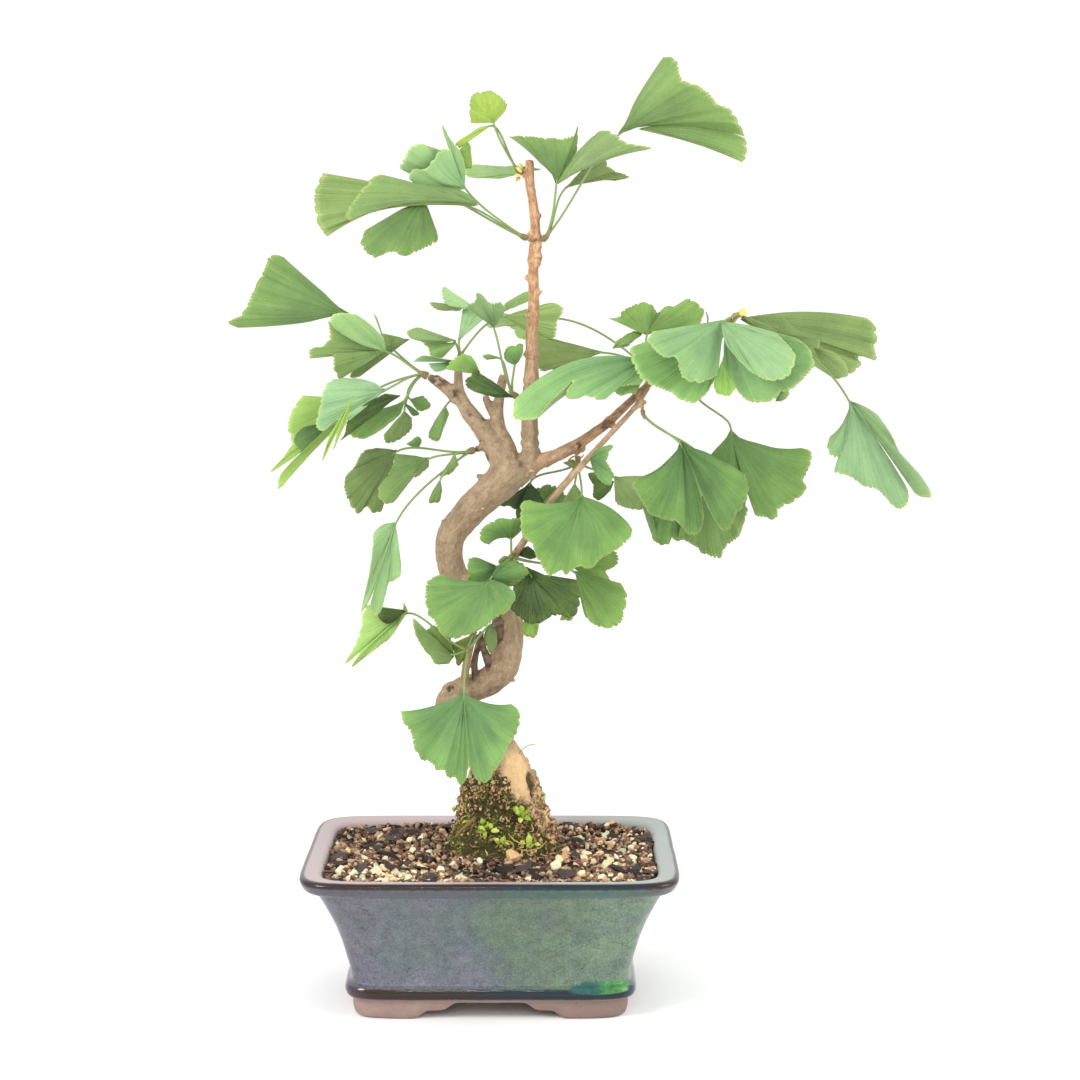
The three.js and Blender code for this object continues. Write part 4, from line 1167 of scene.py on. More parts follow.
# %% The left sprays
spray("branch_left", [(-29, 335, -4), (-33, 337, -4), 2.1],
    leaf((-74, 370, -2), [-35, 30, -38, 31, -43, 30, -44, 26, -51, 13, -55, 4, -59, -1, -65, -4, -60, -7],
        (6, 10, 16), bows=(-0.5, 1.5), olive=0.3, tone=-0.4),
    leaf((-55, 351, -8), [-28, 14, -31, 15, -30, 7, -34, 2, -40, 1, -41, -4, -29, -2, -28, -10, -25, -15,
        -18, -8, -10, -3], (-14, -18, -8), olive=0.6),
    panel((-43, 357, -2), [-14, 3, -17, -5, -26, -13, -32, -20, -27, -20, -19, -13, -11, -7], olive=0.6,
        ragged=0.3),
    panel((-55, 350, -12), [-28, 13, -30, 17, -28, 20, -17, 20, -9, 15, -2, 8], (-22, -22, -14), bows=(2, 0),
        ragged=0.4, olive=0.5, pale=0.3, tone=1.5),
    panel((-55, 352, -6), [-7, 19, -5, 16, -3, 9], wave=0.3, olive=0.4, tone=1.5),
    leaf((-55, 330, -18), [-20, -16, -27, -16, -35, -22, -38, -19, -36, -10, -34, -1, -31, 4, -25, 6, -16, 6],
        (-36, -34, -22), bows=(0, 1), pale=0.9, tone=1.2),
    panel((-73, 327, -36), [-13, -21, -17, -35, -9, -20, -11, -29, -6, -18, -4, -15], (-40, -42, -40),
        young=0.6, tone=1),
    panel((-48, 327, -14), [-32, -24, -29, -19, -28, -13, -18, -4, -8, 1], (-28, -30, -24), tone=-2.1,
        young=0.2),
    leaf((-45, 325, -8), [-30, -12, -30, -19, -23, -21, -13, -16, -3, -8], (-18, -20, -14), olive=0.3,
        tone=0.1),
    leaf((-70, 325, -8), [-30, 2, -35, -5, -38, -15, -36, -23, -40, -30, -48, -39, -38, -33, -31, -28,
        -42, -40, -44, -48, -30, -33, -16, -19], (-14, -22, -6), bulge=4, young=0.35, olive=0.3, tone=1.2),
    panel((-84, 313, -26), [-17, -16, -21, -10, -16, -3, -9, -2], (-27, -28, -27), tone=-1.6, ragged=0.3),
    leaf((-46, 319, 2), [-11, -13, -10, -17, -7, -17, -2, -15, 4, -9, 4, -4], (6, 8, 6), olive=0.8),
    leaf((-43, 325, 16), [4, -6, 8, -6, 11, -3, 7, 2], wave=0.3, olive=0.4, tone=0.5),
    panel((-46, 323, 0), [1, -1, 5, -7, 8, -6, 4, -2], wave=0.2, tone=-1.5))
spray("leaf_left_small", [(-12, 319, -2), (-18, 323, 1), 1.3],
    leaf((-24, 322, 2), [-6, -9, -9, -17, -4, -19, -1, -12, 2, -5], wave=0.6, olive=0.4, tone=0.5))
spray("spur_left", [(-2, 300, 0), (-8.5, 298, -3), 1.9],
    leaf((-50, 298, 8), [-11, 1, -18, -1, -22, -8, -28, -16, -27, -25, -21, -34, -16, -30, -13, -34, -9, -33,
        -7, -27, -8, -20], (8, 16, 14), olive=0.7, tone=-0.3),
    leaf((-33, 294, -8), [-18, 2, -21, -8, -27, -17, -26, -23, -21, -25, -18, -23, -12, -13, -6, -10, 0, -5],
        (-12, -16, -6), olive=0.5, tone=-0.2),
    panel((-40, 299, 12), [-5, 2, 1, 6, 3, 4, 2, 0], wave=0.2, tone=0.8),
    leaf((-51, 259, -14), [-12, -6, -13, -19, -16, -35, -19, -49, -16, -45, -12, -37, -14, -47, -11, -51,
        -8, -47, -6, -40, -4, -33, 2, -29, 2, -18, 0, -12], (-22, -22, -14), bows=(2, 0), pale=0.5, olive=0.4,
        tone=1.6),
    leaf((-19, 296, -10), [-4, -8, -8, -12, -3, -11, 2, -6], wave=0.3, olive=0.7),
    leaf((-27, 282, -14), [-4, -6, -6, -12, -1, -12, 1, -6], wave=0.3, olive=0.5, tone=-0.3))
spray("spur_upper_left", [(-17, 338, -2), (-16.4, 344.6, -2), 1.9],
    leaf((-18, 356, -8), [-5, 2, -13, 4, -20, 7, -26, 5, -25, 2, -19, 0, -9, -1], (-6, -12, -10), wave=0.6,
        pale=0.2, ragged=0.3, olive=0.7, tone=0.3),
    panel((-18, 355, -7), [-19, 1, -15, -3, -13, -8, -8, -8, -3, -3], (-6, -6, -6), olive=0.6, tone=1),
    leaf((-18, 345, -12), [-23, 0, -19, 3, -10, 2, -3, 0, -6, -4, -12, -5, -15, -1], (-18, -18, -14),
        pale=0.6, neck=0, ragged=0.4),
    leaf((-5, 338, -14), [-3, 7, -7, 11, -12, 10, -17, 6, -18, 3, -10, 4, -5, 3], (-18, -20, -16), young=0.3,
        wave=0.5),
    leaf((-17, 356, 4), [2, 6, 3, 17, 9, 16, 15, 13, 9, 11, 4, 7], (8, 10, 8), neck=0.2, olive=0.3, pale=0.8,
        tone=1.5),
    panel((-7, 373, 6), [-5, 3, -12, 6, -18, 12, -17, 3, -12, 1, -4, 0], (8, 6, 8), neck=0.2, pale=0.6,
        olive=0.8, tone=1.9),
    panel((-14, 374, 10), [-5, 1, -18, 2, -15, -1, -10, -2, -2, -2], olive=1, tone=0.5),
    leaf((6, 369, 16), [21, 6, 27, 7, 33, 4, 30, -1, 29, -7, 28, -11, 20, -12], (20, 26, 24), olive=0.8,
        tone=1.6))
spray("spur_leader", [(20, 322, -1), (14.5, 326, -3), 1.8],
    leaf((2, 363, -12), [-4, 5, -10, 8, -14, 11, -10, 14, -9, 18, -6, 17, -2, 13, 4, 13, 6, 10, 4, 6],
        (-16, -20, -16), olive=0.6, pale=0.35),
    panel((6, 371, -8), [2, 5, 9, 9, 14, 11, 14, 6, 8, 5, 4, 3], ragged=0.3, olive=0.6, tone=0.8),
    leaf((13, 343, -6), [-4, 2, -6, 5, -4, 9, 4, 11, 4, 6, 2, 2], wave=0.4, tone=-0.2),
    leaf((5, 347, -4), [-6, 2, -9, 1, -7, -1], wave=0.2, olive=0.5, ragged=0.3, tone=0.6),
    leaf((12, 326, -10), [-6, 5, -13, 10, -20, 13, -25, 9, -24, 5, -17, 2, -9, 0], (-12, -20, -14), wave=1,
        young=0.2, tone=-2.1))
print("sprays so far:", *SPRAYS)

# %% [markdown]
# The right branch carries the largest leaves. They overlap, so each has a depth of its own.

# %% The right sprays
spray("spur_mid_right", [(84, 333, 4), (84, 338, 8), 1.6],
    leaf((60, 350, 34), [-26, 7, -34, 8, -40, 5, -41, -2, -35, -8, -32, -10, -27, -9, -24, -10], (44, 46, 40),
        under=1, olive=0.7, neck=0.2, tone=0.8),
    leaf((84, 346, -10), [-71, -21, -72, -27, -71, -31, -64, -32, -59, -31, -54, -24, -40, -11, -44, -19,
        -39, -21, -33, -19, -27, -21, -23, -21, -21, -16, -15, -14, -4, -13], (-24, -34, -16), bows=(10.5, 1),
        neck=0.1, wave=2.2, tone=1.0, pale=0.4),
    leaf((80, 334, -4), [-17, -3, -11, -7, -7, -6, -3, -6, -1, -3], (-6, -8, -6), olive=0.5, tone=2.4),
    leaf((83, 359, 16), [-20, 9, -16, 9, -12, 13, -6, 16, 1, 17, 6, 12, 10, 15, 14, 15, 22, 19, 26, 17,
        30, 13, 28, 5], (26, 34, 30), young=0.25, tone=-0.3),
    panel((65, 352, 24), [2, 4, 11, 9, 16, 8, 11, 4, 8, 1], neck=0.2, olive=0.6, tone=1.5),
    leaf((29, 368, 44), [-25, 3, -32, -1, -29, -5, -21, -4, -18, -5, -13, -11, -9, -11], (48, 50, 48),
        under=1, pale=0.3, olive=0.6, tone=3))
spray("branch_right", [(124, 364.5, 8), (128.6, 367.8, 8), 1.7],
    leaf((124, 367, -10), [-38, -6, -40, -11, -35, -17, -30, -20, -26, -19, -23, -27, -21, -31, -12, -33,
        -3, -29], (-34, -42, -26), pale=0.55, bulge=3, neck=0, tone=0.7),
    panel((123, 366, -14), [29, -6, 35, -12, 39, -18, 37, -26, 35, -29, 26, -31, 20, -29, 14, -25, 8, -19,
        3, -13], (-32, -44, -30), bows=(1, 1), pale=0.7, bulge=3, neck=0, tone=1, olive=0.3),
    leaf((123, 358, -4), [-40, -2, -48, -6, -48, -11, -44, -20, -40, -24, -30, -28, -27, -30, -21, -33,
        -16, -35, -10, -32, -5, -25, -3, -21], (-16, -26, -14), pale=0.2, tone=0.8),
    panel((124, 363, -4), [29, -3, 39, -6, 46, -12, 48, -20, 43, -26, 37, -32, 30, -35, 27, -38, 14, -39,
        6, -31, 0, -20], (-16, -28, -16), pale=0.4, tone=0.3),
    panel((124, 348, 6), [-5, -14, -4, -19, 3, -21, 7, -16, 5, -13], young=0.3, tone=2.5),
    leaf((132, 368, 12), [68, 0, 72, -4, 73, -11, 72, -16, 73, -22, 66, -20, 63, -21, 65, -24, 60, -29,
        53, -32, 48, -30, 43, -23, 38, -15], (28, 34, 22), bows=(3.5, 0), olive=0.7, tone=0.1, wave=2,
        neck=0.1),
    panel((152, 360, -2), [3, 9, 10, 2, 16, -2, 23, -4, 22, -8, 16, -4, 8, -3], (0, -4, -2), olive=0.7,
        tone=-0.6, ragged=0.2),
    panel((172, 352, 12), [3, 0, 10, -2, 16, -7, 18, -13, 13, -16, 8, -14, 4, -8], (12, 8, 12), under=1,
        olive=0.4, tone=0.6, ragged=0.3),
    panel((152, 324, -16), [1, 4, 5, 7, 7, 5, 6, 2, 3, 0], olive=0.4, wave=0.3, tone=0.3),
    leaf((191, 325, -8), [-10, -20, -11, -27, -6, -31, -4, -29, -7, -39, -1, -40, 2, -42, 5, -44, 11, -47,
        16, -48, 20, -52, 26, -58, 30, -58, 33, -52, 31, -46, 21, -32, 12, -18], (-16, -22, -10),
        bows=(-3, 1), pale=0.75, wave=2, tone=0.2),
    panel((192, 324, -6), [15, -8, 22, -18, 28, -30, 38, -40, 44, -51, 36, -50, 32, -43, 24, -30, 13, -16],
        (-4, 2, -4), bows=(1, 0), neck=0, pale=0.5, ragged=0.4, olive=0.6, tone=1),
    leaf((128, 309, 8), [38, -10, 43, -12, 43, -18, 40, -25, 39, -27, 41, -31, 35, -38, 26, -43, 25, -48,
        18, -47, 14, -46, 12, -38, 9, -28, 8, -47, 4, -58, -10, -51, -22, -29], (14, 16, 18), bows=(-4, 0),
        by=(108, 330, 12), bulge=1, olive=0.2, tone=-0.1))
spray("shoot_right", [(80, 325, -13), (81, 319.5, -17), 1.2],
    leaf((101, 303, -22), [-23, -20, -25, -24, -21, -31, -16, -39, -10, -42, -1, -44, 6, -51, 10, -50,
        13, -44, 12, -29, 16, -37, 23, -48, 26, -49, 30, -41, 35, -34, 37, -26, 35, -18], (-34, -36, -24),
        bows=(-4, 1), tone=-0.9),
    panel((97, 275, -4), [-13, -10, -9, -26, -2, -28, 0, -25, 5, -26, 9, -21], (-2, 2, 2), tone=-0.4),
    leaf((112, 297, -6), [-12, -47, -3, -50, 1, -54, 6, -56, 11, -57, 14, -51, 20, -46, 26, -31], (-2, 0, 2),
        olive=0.4, tone=-0.8))
spray("spur_right", [(46, 301, 1), (46.5, 295, 1), 1.6],
    leaf((66, 284, 6), [2, -7, 1, -14, 7, -17, 14, -18, 20, -12, 18, 0], (6, 10, 8), olive=0.9, pale=0.2,
        under=1, tone=1.6),
    panel((84, 275, 0), [-3, -7, 1, -19, 4, -26, 4, -17, 4, -9], (-4, -4, 0), pale=0.3, olive=0.4,
        ragged=0.2),
    leaf((53, 293, -28), [3, 5, 8, 7, 12, 7, 9, 0, 13, -10, 10, -14, 5, -11, 2, -6], (-30, -36, -30),
        pale=0.2, wave=1, tone=-0.4),
    panel((66, 281, -14), [-2, -5, -8, -10, -11, -8, -11, -2, -14, 4, -9, 5], ragged=0.4, young=0.3,
        tone=-1.9),
    leaf((49, 273, -24), [-28, -2, -32, -3, -33, -10, -32, -21, -27, -26, -24, -33, -20, -40, -17, -43,
        -12, -40, -8, -42, -3, -38, 4, -39, 11, -33, 18, -29, 23, -25, 27, -19, 25, -15], (-34, -40, -28),
        bows=(-3, 2.5), tone=-0.1, young=0.08),
    leaf((21, 281, 14), [-16, -13, -9, -14, -6, -20, 1, -19, 10, -11], (18, 24, 20), olive=0.3, tone=-2.3),
    leaf((29, 270, 18), [-5, 7, 1, 9, 8, 7, 12, 0, 7, -5], tone=-0.8, olive=0.5),
    leaf((45, 280, 6), [5, -7, 0, -11, -6, -10, -4, -6], olive=0.8),
    leaf((39, 291, 2), [5, -3, 8, -1, 5, 2], wave=0.1, olive=0.5, ragged=0.2))
print("sprays so far:", *SPRAYS)

# %% [markdown]
# Two shoots from the old wood carry the leaves over the trunk.

# %% The low sprays
spray("shoot_mid", [(13, 242, -14), (12, 241, -19), 1.8],
    leaf((11, 250, -14), [-12, -3, -15, -2, -17, 2, -15, 6, -9, 10, -5, 11, 0, 11, 5, 11, 6, 6, 4, 3],
        (-20, -18, -10), bows=(-2, 0), tone=-0.4, wave=0.6, young=0.1),
    leaf((15, 241, -12), [2, 4, 5, 5, 8, 3, 9, -1, 6, -2], wave=0.3, tone=-1.7),
    leaf((11, 240, -22), [-6, -4, -7, -2, -4, 1], wave=0.3, olive=0.3, tone=-0.6),
    leaf((-1, 228, -36), [-26, 3, -33, -1, -33, -18, -30, -22, -25, -30, -18, -32, -12, -30, -5, -27, 0, -24,
        3, -21, 11, -16, 14, -10, 12, -5, 7, -2], (-44, -46, -40), bows=(-2, 0), pale=0.1, tone=-0.4,
        young=0.08),
    leaf((21, 232, -30), [-9, -7, -9, -12, -10, -20, -5, -25, 0, -28, 5, -28, 9, -25, 16, -23, 21, -25,
        25, -22, 27, -12, 25, -4], (-34, -36, -32), young=0.3, tone=-2.2),
    leaf((45, 233, -14), [25, -7, 28, -13, 27, -21, 25, -28, 20, -31, 12, -30, 6, -25, 3, -11],
        (-16, -22, -18), young=0.22, tone=-0.3),
    leaf((42, 236, 2), [13, 6, 25, 7, 26, 1, 20, -4, 22, -9, 12, -9], (6, 8, 6), young=0.3, tone=-0.4),
    leaf((4, 235, -26), [-7, -10, -16, -9, -16, -2, -16, 4, -12, 5, -5, 2], (-28, -34, -28), tone=-0.5),
    leaf((0, 227, -34), [8, 11, 13, 11, 18, 9, 20, 5, 17, 1, 13, -2, 9, -3], (-32, -36, -34), tone=-0.8,
        bulge=3, neck=0.1, bows=(2, 0)),
    panel((21, 212, -16), [-5, -10, -2, -15, 3, -15, 5, -9], young=0.4, tone=0.2),
    panel((42, 216, -16), [-5, -10, 1, -10, 6, 0], olive=0.6, young=0.5, tone=0.4),
    panel((19, 235, -22), [1, -9, 8, -13, 11, -5], tone=-1.6))
spray("shoot_low", [(-11, 193, -13), (-12, 191, -18), 1.7],
    leaf((-45, 211, -6), [-2, 5, -3, -2, -8, -13, -15, -19, -24, -26, -31, -31, -26, -23, -34, -29, -28, -18,
        -25, -9, -22, 3, -15, 1], (-10, -16, -8), young=0.45, neck=0, wave=0.8, pale=0.5, tone=1.4),
    panel((-46, 211, -12), [-14, 2, -15, -3, -10, -7, -4, -4], (-14, -14, -13), neck=0, ragged=0.2, young=0.3,
        tone=-2.5),
    leaf((-20, 186, -18), [-3, -4, -10, -4, -12, -1, -17, 5, -21, 13, -22, 21, -18, 16, -16, 12, -13, 6],
        (-22, -26, -20), ragged=0.4, olive=0.6),
    panel((-20, 187, -15), [-14, 6, -16, 10, -14, 14, -11, 16, -7, 14, -2, 10], (-16, -18, -16), olive=0.4,
        tone=-0.6, young=0.3),
    leaf((-9, 199, -16), [-14, -7, -11, -11, -9, -18, -4, -12, -1, -7], (-12, -12, -14), ragged=0.6,
        young=0.9, tone=-1.9),
    leaf((0, 204, -16), [-3, -4, -4, -8, 0, -16, 3, -11, 3, -5], (-16, -18, -16), wave=0.4, olive=0.8,
        tone=-0.3),
    leaf((-15, 167, -34), [-34, -11, -33, -16, -29, -22, -26, -33, -22, -38, -18, -39, -15, -43, -11, -44,
        -8, -48, -5, -47, -3, -51, 0, -51, 3, -42, 7, -49, 13, -50, 16, -45, 21, -38, 25, -29, 28, -24,
        30, -19, 30, -11, 26, -7], (-46, -50, -38), bows=(-2.5, -3), wave=2, pale=0.15, bulge=1, tone=-0.2))
print(sum(len(leaves) for _, leaves in SPRAYS.values()), "leaves in", len(SPRAYS), "sprays")

# %% [markdown]
# ## Buds and whole sprays
#
# Leaves and stalks leave a short bud whose brown scales overlap in a spiral. The bud is a tube
# whose radius steps in at the tip of each scale. It starts a hair's breadth beyond the spur.

# %% Sprays
BUD_LENGTH = 6  # mm


def make_bud(foot, outward, radius):
    """A tube whose radius falls in steps: within each scale it swells, and it drops at its tip."""
    t = np.linspace(0, 1, 22)
    sides = 14
    scale = (5 * t[:, None] + np.arange(sides) / sides * 3) % 1
    plain = radius * (0.9 + 0.9 * t * (1 - t) - 0.75 * t**1.5)[:, None]
    radii = np.maximum(plain * (0.92 + 0.22 * scale), 0.15)
    centres = foot + outward * BUD_LENGTH * t[:, None]
    brown = np.repeat(0.95 - 0.5 * smooth(2 * t - 1), sides)
    brown = np.concatenate([brown - 0.35 * scale.ravel(), [1, 0.4]])
    return tube(centres, radii, sides, **leaf_values(len(brown), stalk=1, brown=brown))


def make_spray(spur, leaves, draw):
    """The bud, stalks and blades of one spur."""
    foot, tip = at(spur[:2])
    outward = unit(tip - foot)
    foot = tip + GAP * outward
    bud = foot + outward * BUD_LENGTH / 2
    shapes = [make_bud(foot, outward, spur[2])]
    for number, form in enumerate(leaves):
        tone = form["tone"] + draw.uniform(-0.15, 0.15)
        shapes.append(make_blade(form, number + 1, tone))
        if form["stalk"]:
            shapes.append(make_stalk(form, number + 1, bud, outward, tone))
    return joined(shapes)


draw = np.random.default_rng(5)
for name, (spur, leaves) in SPRAYS.items():
    shape = make_spray(spur, leaves, draw)
    dress(make("spray_" + name, shape, leaf_material), "leaf", name)

# %% [markdown]
# ## The wood
#
# Root, trunk, leader and branches grew as one body. Each limb is set out as a row of places on the
# drawing plane, as (x, z, depth, radius). The limbs are drawn as tubes, melted into one closed skin
# by a fine voxel remesh, and smoothed a little so that every fork has a fillet. Then bark is raised
# on the skin point by point.

# %% The limbs
LIMBS = {
    "trunk": [
        (7, 46, 0, 11), (7, 64, 0, 22), (7, 80, 0, 27.5), (7, 93, 0, 24.5), (7, 106, 0, 21.6),
        (5, 119, 0, 18.6), (2, 131, 0, 14), (-6, 142, 2, 11.6), (-17, 151, 4, 10), (-21, 160, 4, 9),
        (-15, 167, 2, 8), (-6, 170, -1, 7.6), (1, 174, -4, 7.8), (7, 181, -6, 8.3), (9, 190, -6, 8.6),
        (10, 200, -4, 8.2), (9, 209, 0, 7.8), (4, 217, 3, 7.6), (-5, 222, 5, 7.6), (-15, 226, 6, 7.5),
        (-20, 232, 6, 7.3), (-22, 244, 5, 7.6), (-20, 254, 4, 8), (-13, 263, 2, 8.3), (-5, 271, 0, 8.8),
        (3, 278, 0, 9.4), (10, 286, 0, 10.6), (13, 293, 0, 8.6),
    ],
    "leader": [
        (18, 284, 0, 6.4), (21, 294, 0, 5.6), (21, 303, 0, 4.6), (21, 314, 0, 4.4), (21, 326, -1, 4.3),
        (22, 337, -1, 3.9), (22, 348, 0, 3.6), (22, 359, 0, 3.5), (23, 370, 1, 3.1), (23, 384, 1, 2.9),
        (23, 400, 1, 3), (24, 407, 1, 3.6), (24, 413, 0, 2.8), (23, 427, 0, 2.6), (21, 440, 0, 2.6),
        (21, 451, 0, 2.3),
    ],
    "left": [
        (9, 286, 0, 8), (2, 299, 0, 5.8), (-6, 311, -1, 4.7), (-12, 319, -2, 4.3), (-16, 327, -2, 3.7),
        (-17, 334, -2, 2.6), (-17, 342, -2, 2.3),
    ],
    "left_stub": [(-13, 321, -2, 3.6), (-21, 329, -3, 3.4), (-30, 336, -4, 2.9)],
    "middle": [
        (10, 287, 1, 7.5), (7.5, 300, 2, 5.8), (4, 309, 3, 4.6), (3.8, 318, 3, 3.2), (5, 328, 4, 2.8),
        (7, 338, 5, 2.3),
    ],
    "middle_stub": [(3.5, 315, 3, 3.0), (-0.5, 321, 3, 2.3), (-3, 327, 2, 1.8)],
    "middle_cut": [(3, 309, 3, 4), (-4.5, 312, 1, 3)],
    "right": [
        (15, 285, 0, 7), (25, 291, 0, 4.8), (37, 296, 0, 3.7), (48, 302, 1, 3.3), (63, 313, 2, 2.6),
        (83, 332, 4, 2), (104, 350, 7, 1.8), (126, 366, 8, 1.7),
    ],
    "shoot": [
        (-15, 166, -2, 2.8), (-14, 178, -9, 2.3), (-11, 193, -13, 2.2), (-6, 212, -15, 2.1),
        (3, 231, -15, 2), (13, 242, -14, 2.1), (32, 270, -17, 1.9), (58, 300, -17, 1.7),
        (78, 322, -11, 1.5), (85, 333, -3, 1.4),
    ],
    "old_left": [(-7, 168, -4, 2.4), (-9, 182, -7, 1.8), (-5, 200, -5, 1.6)],
    "old_right": [(1, 176, -8, 3), (-4, 190, -9, 1.9), (-7, 198, -9, 2.4)],
    "right_stub": [(76, 320, -13, 1.5), (83, 324, -14, 1.2)],
    "old_knot": [(7, 190, -6, 5), (4, 199, -10, 3.6), (3, 207, -10, 2.8)],
}


def limb_path(places):
    """The smooth middle line of a limb, and its radius along it."""
    places = np.array(places, float)
    steps = 8 * (len(places) - 1)
    way = np.linspace(0, len(places) - 1, steps + 1)
    radii = np.interp(way, np.arange(len(places)), places[:, 3])
    return through(at(places[:, :3]), steps), radii


print(len(LIMBS), "limbs, the thickest", max(limb_path(places)[1].max() for places in LIMBS.values()), "mm")

# %% Knobs
# Small buds and old leaf scars that stand out: x and z, how far the tip lies from there, radius.
KNOBS = [
    (24.4, 421, 2.6, 1.6, 1.7), (24.4, 396.6, 2.4, -0.4, 1.9), (24.6, 400.6, 3.0, 0.3, 2.0),
    (24.8, 405, 2.6, 0.8, 1.6), (21.4, 387.6, -3.0, 2.4, 1.2), (24.4, 380, 3.2, 2.6, 1.2),
    (21, 369.4, -2.0, 0.4, 1.7), (23.6, 370, 2.0, 0.3, 1.7), (23.8, 349.4, 2.2, 0.8, 1.9),
    (19.8, 348.8, -2.0, 0.8, 1.9), (22, 412, -2.2, 0.5, 1.6), (19.6, 306, -2.2, 0, 2.0),
    (-4.6, 283, -2.6, 1.2, 1.3), (-11, 274.4, -1.6, 1.6, 1.3), (-25, 259, -1.2, 0.2, 1.4),
    (-26, 244, -2.6, -0.4, 1.6), (12, 173, 1.2, -0.7, 1.2), (3, 305, -3.2, 0.6, 1.9),
    (62, 312.5, 1.4, 2.8, 1.9), (65, 311.6, 1.2, -2.2, 1.9), (48, 299.4, 2.2, -2.2, 2.0),
    (17, 127, 3.0, 0, 3.8), (21, 120, 3.4, 0, 3.6), (25, 108, 3.6, -1, 4.2), (26, 100, 5.4, -2, 4.6),
    (28, 94, 6.4, -2, 4.4), (-12, 112, -5, 0.6, 3.4), (30, 290.4, 1.4, -1.8, 1.7),
    (104, 350.4, -0.8, 2.2, 1.4), (-9, 183, -2.2, 0.8, 1.3),
]


def knob_tube(foot, tip, radius):
    """A short knob whose rings are the scars of old leaves: its radius swells three times."""
    t = np.linspace(0, 1, 15)
    radii = radius * (1.12 - 0.25 * t) * (1 + 0.10 * np.sin(6 * np.pi * t))
    return tube(foot + (tip - foot) * t[:, None], radii, 14)


def knob_ends(x, z, across, up):
    """The ends of a small knob. Its foot is in the middle of the wood at that height."""
    depth = np.interp(z, [160, 200, 260, 450], [-3, -4, 1, 0])
    return at([(x - 0.6 * across, z - 0.6 * up, depth), (x + across, z + up, depth - 1)])


print(len(KNOBS), "knobs")

# %% The skin over the limbs
SKIN_VOXEL = 0.77  # mm


def make_skin():
    """Every tube in one mesh, melted together by a voxel remesh."""
    tubes = []
    for places in LIMBS.values():
        centres, radii = limb_path(places)
        tubes.append(tube(centres, radii, 28))
    for spur, _ in SPRAYS.values():
        tubes.append(knob_tube(*at(spur[:2]), spur[2]))
    for *ends, radius in KNOBS:
        tubes.append(knob_tube(*knob_ends(*ends), radius))
    piece = make("wood", joined(tubes), bark)
    remesh = piece.modifiers.new("melt", "REMESH")
    remesh.mode, remesh.voxel_size = "VOXEL", SKIN_VOXEL * MM
    apply_modifiers(piece)
    return piece


# %% [markdown]
# ## Which way the bark runs
#
# Bark splits along the wood. So each point of the skin looks up the limb it lies on, and keeps
# where it is on that limb: how far along, and where round the section. A pattern drawn in these
# coordinates follows every bend. The same coordinates carry how dark, how ruddy, how pale or how
# green with algae the bark is there.

# %% Coordinates along the limbs
BATCH = 20000  # points measured at once, which keeps the arrays small
LIMB_SHIFT = 130  # mm along the pattern from one limb to the next, so that no two look alike


def on_limbs(points):
    """For each point the limb it is nearest to, counted from the limb's surface, its place round
    and along that limb in mm, and the limb's radius there."""
    best = np.full(len(points), np.inf)
    grain, radius, number = np.zeros((len(points), 3)), np.zeros(len(points)), np.zeros(len(points), int)
    for index, places in enumerate(LIMBS.values()):
        centres, radii = limb_path(places)
        side, up = section_frame(centres)
        length = np.cumsum(np.r_[0, np.linalg.norm(np.diff(centres, axis=0), axis=1)])
        for start in range(0, len(points), BATCH):
            part = slice(start, start + BATCH)
            apart = np.linalg.norm(points[part, None] - centres[None], axis=2)
            nearest = (apart - radii).argmin(1)
            gap = apart[np.arange(len(nearest)), nearest] - radii[nearest]
            closer = gap < best[part]
            away = points[part] - centres[nearest]
            along = np.cross(side, up)[nearest]
            here = np.stack([
                (away * side[nearest]).sum(1), (away * up[nearest]).sum(1),
                length[nearest] + (away * along).sum(1) + LIMB_SHIFT * index,
            ], -1)
            rows = np.flatnonzero(closer) + start
            best[rows], grain[rows] = gap[closer], here[closer]
            radius[rows], number[rows] = radii[nearest][closer], index
    return grain, radius, number


print("the root's middle lies on limb", *on_limbs(at([(7, 80, 0)]))[2])


# %% Places on the drawing plane
def seen_at(points):
    """Where points appear on the drawing plane: at() turned round."""
    share = EYE[1] / (EYE[1] - points[:, 1])
    return (EYE + (points - EYE) * share[:, None])[:, [0, 2]]


def spot(seen, x, z, size, tall=1.0):
    """1 at a place of the drawing plane, falling off in a bell of a size in mm."""
    return np.exp(-(((seen[:, 0] - x) / size) ** 2) - ((seen[:, 1] - z) / (size * tall)) ** 2)


def smoothed(points, edges, rounds):
    """Moves each point halfway to the middle of its neighbours, a few times."""
    ends = np.concatenate([edges, edges[:, ::-1]])
    count = np.maximum(np.bincount(ends[:, 0], minlength=len(points)), 1)[:, None]
    for _ in range(rounds):
        total = [np.bincount(ends[:, 0], points[ends[:, 1], axis], len(points)) for axis in range(3)]
        points = (points + np.stack(total, -1) / count) / 2
    return points


def mesh_array(items, name, width, kind=float):
    """An array of one property of all of a mesh's points, edges or faces."""
    values = np.empty(len(items) * width, kind)
    items.foreach_get(name, values)
    return values.reshape(-1, width).squeeze()


print("a place 30 mm deep is drawn at", seen_at(at([(50, 300, 30)])).round(1))
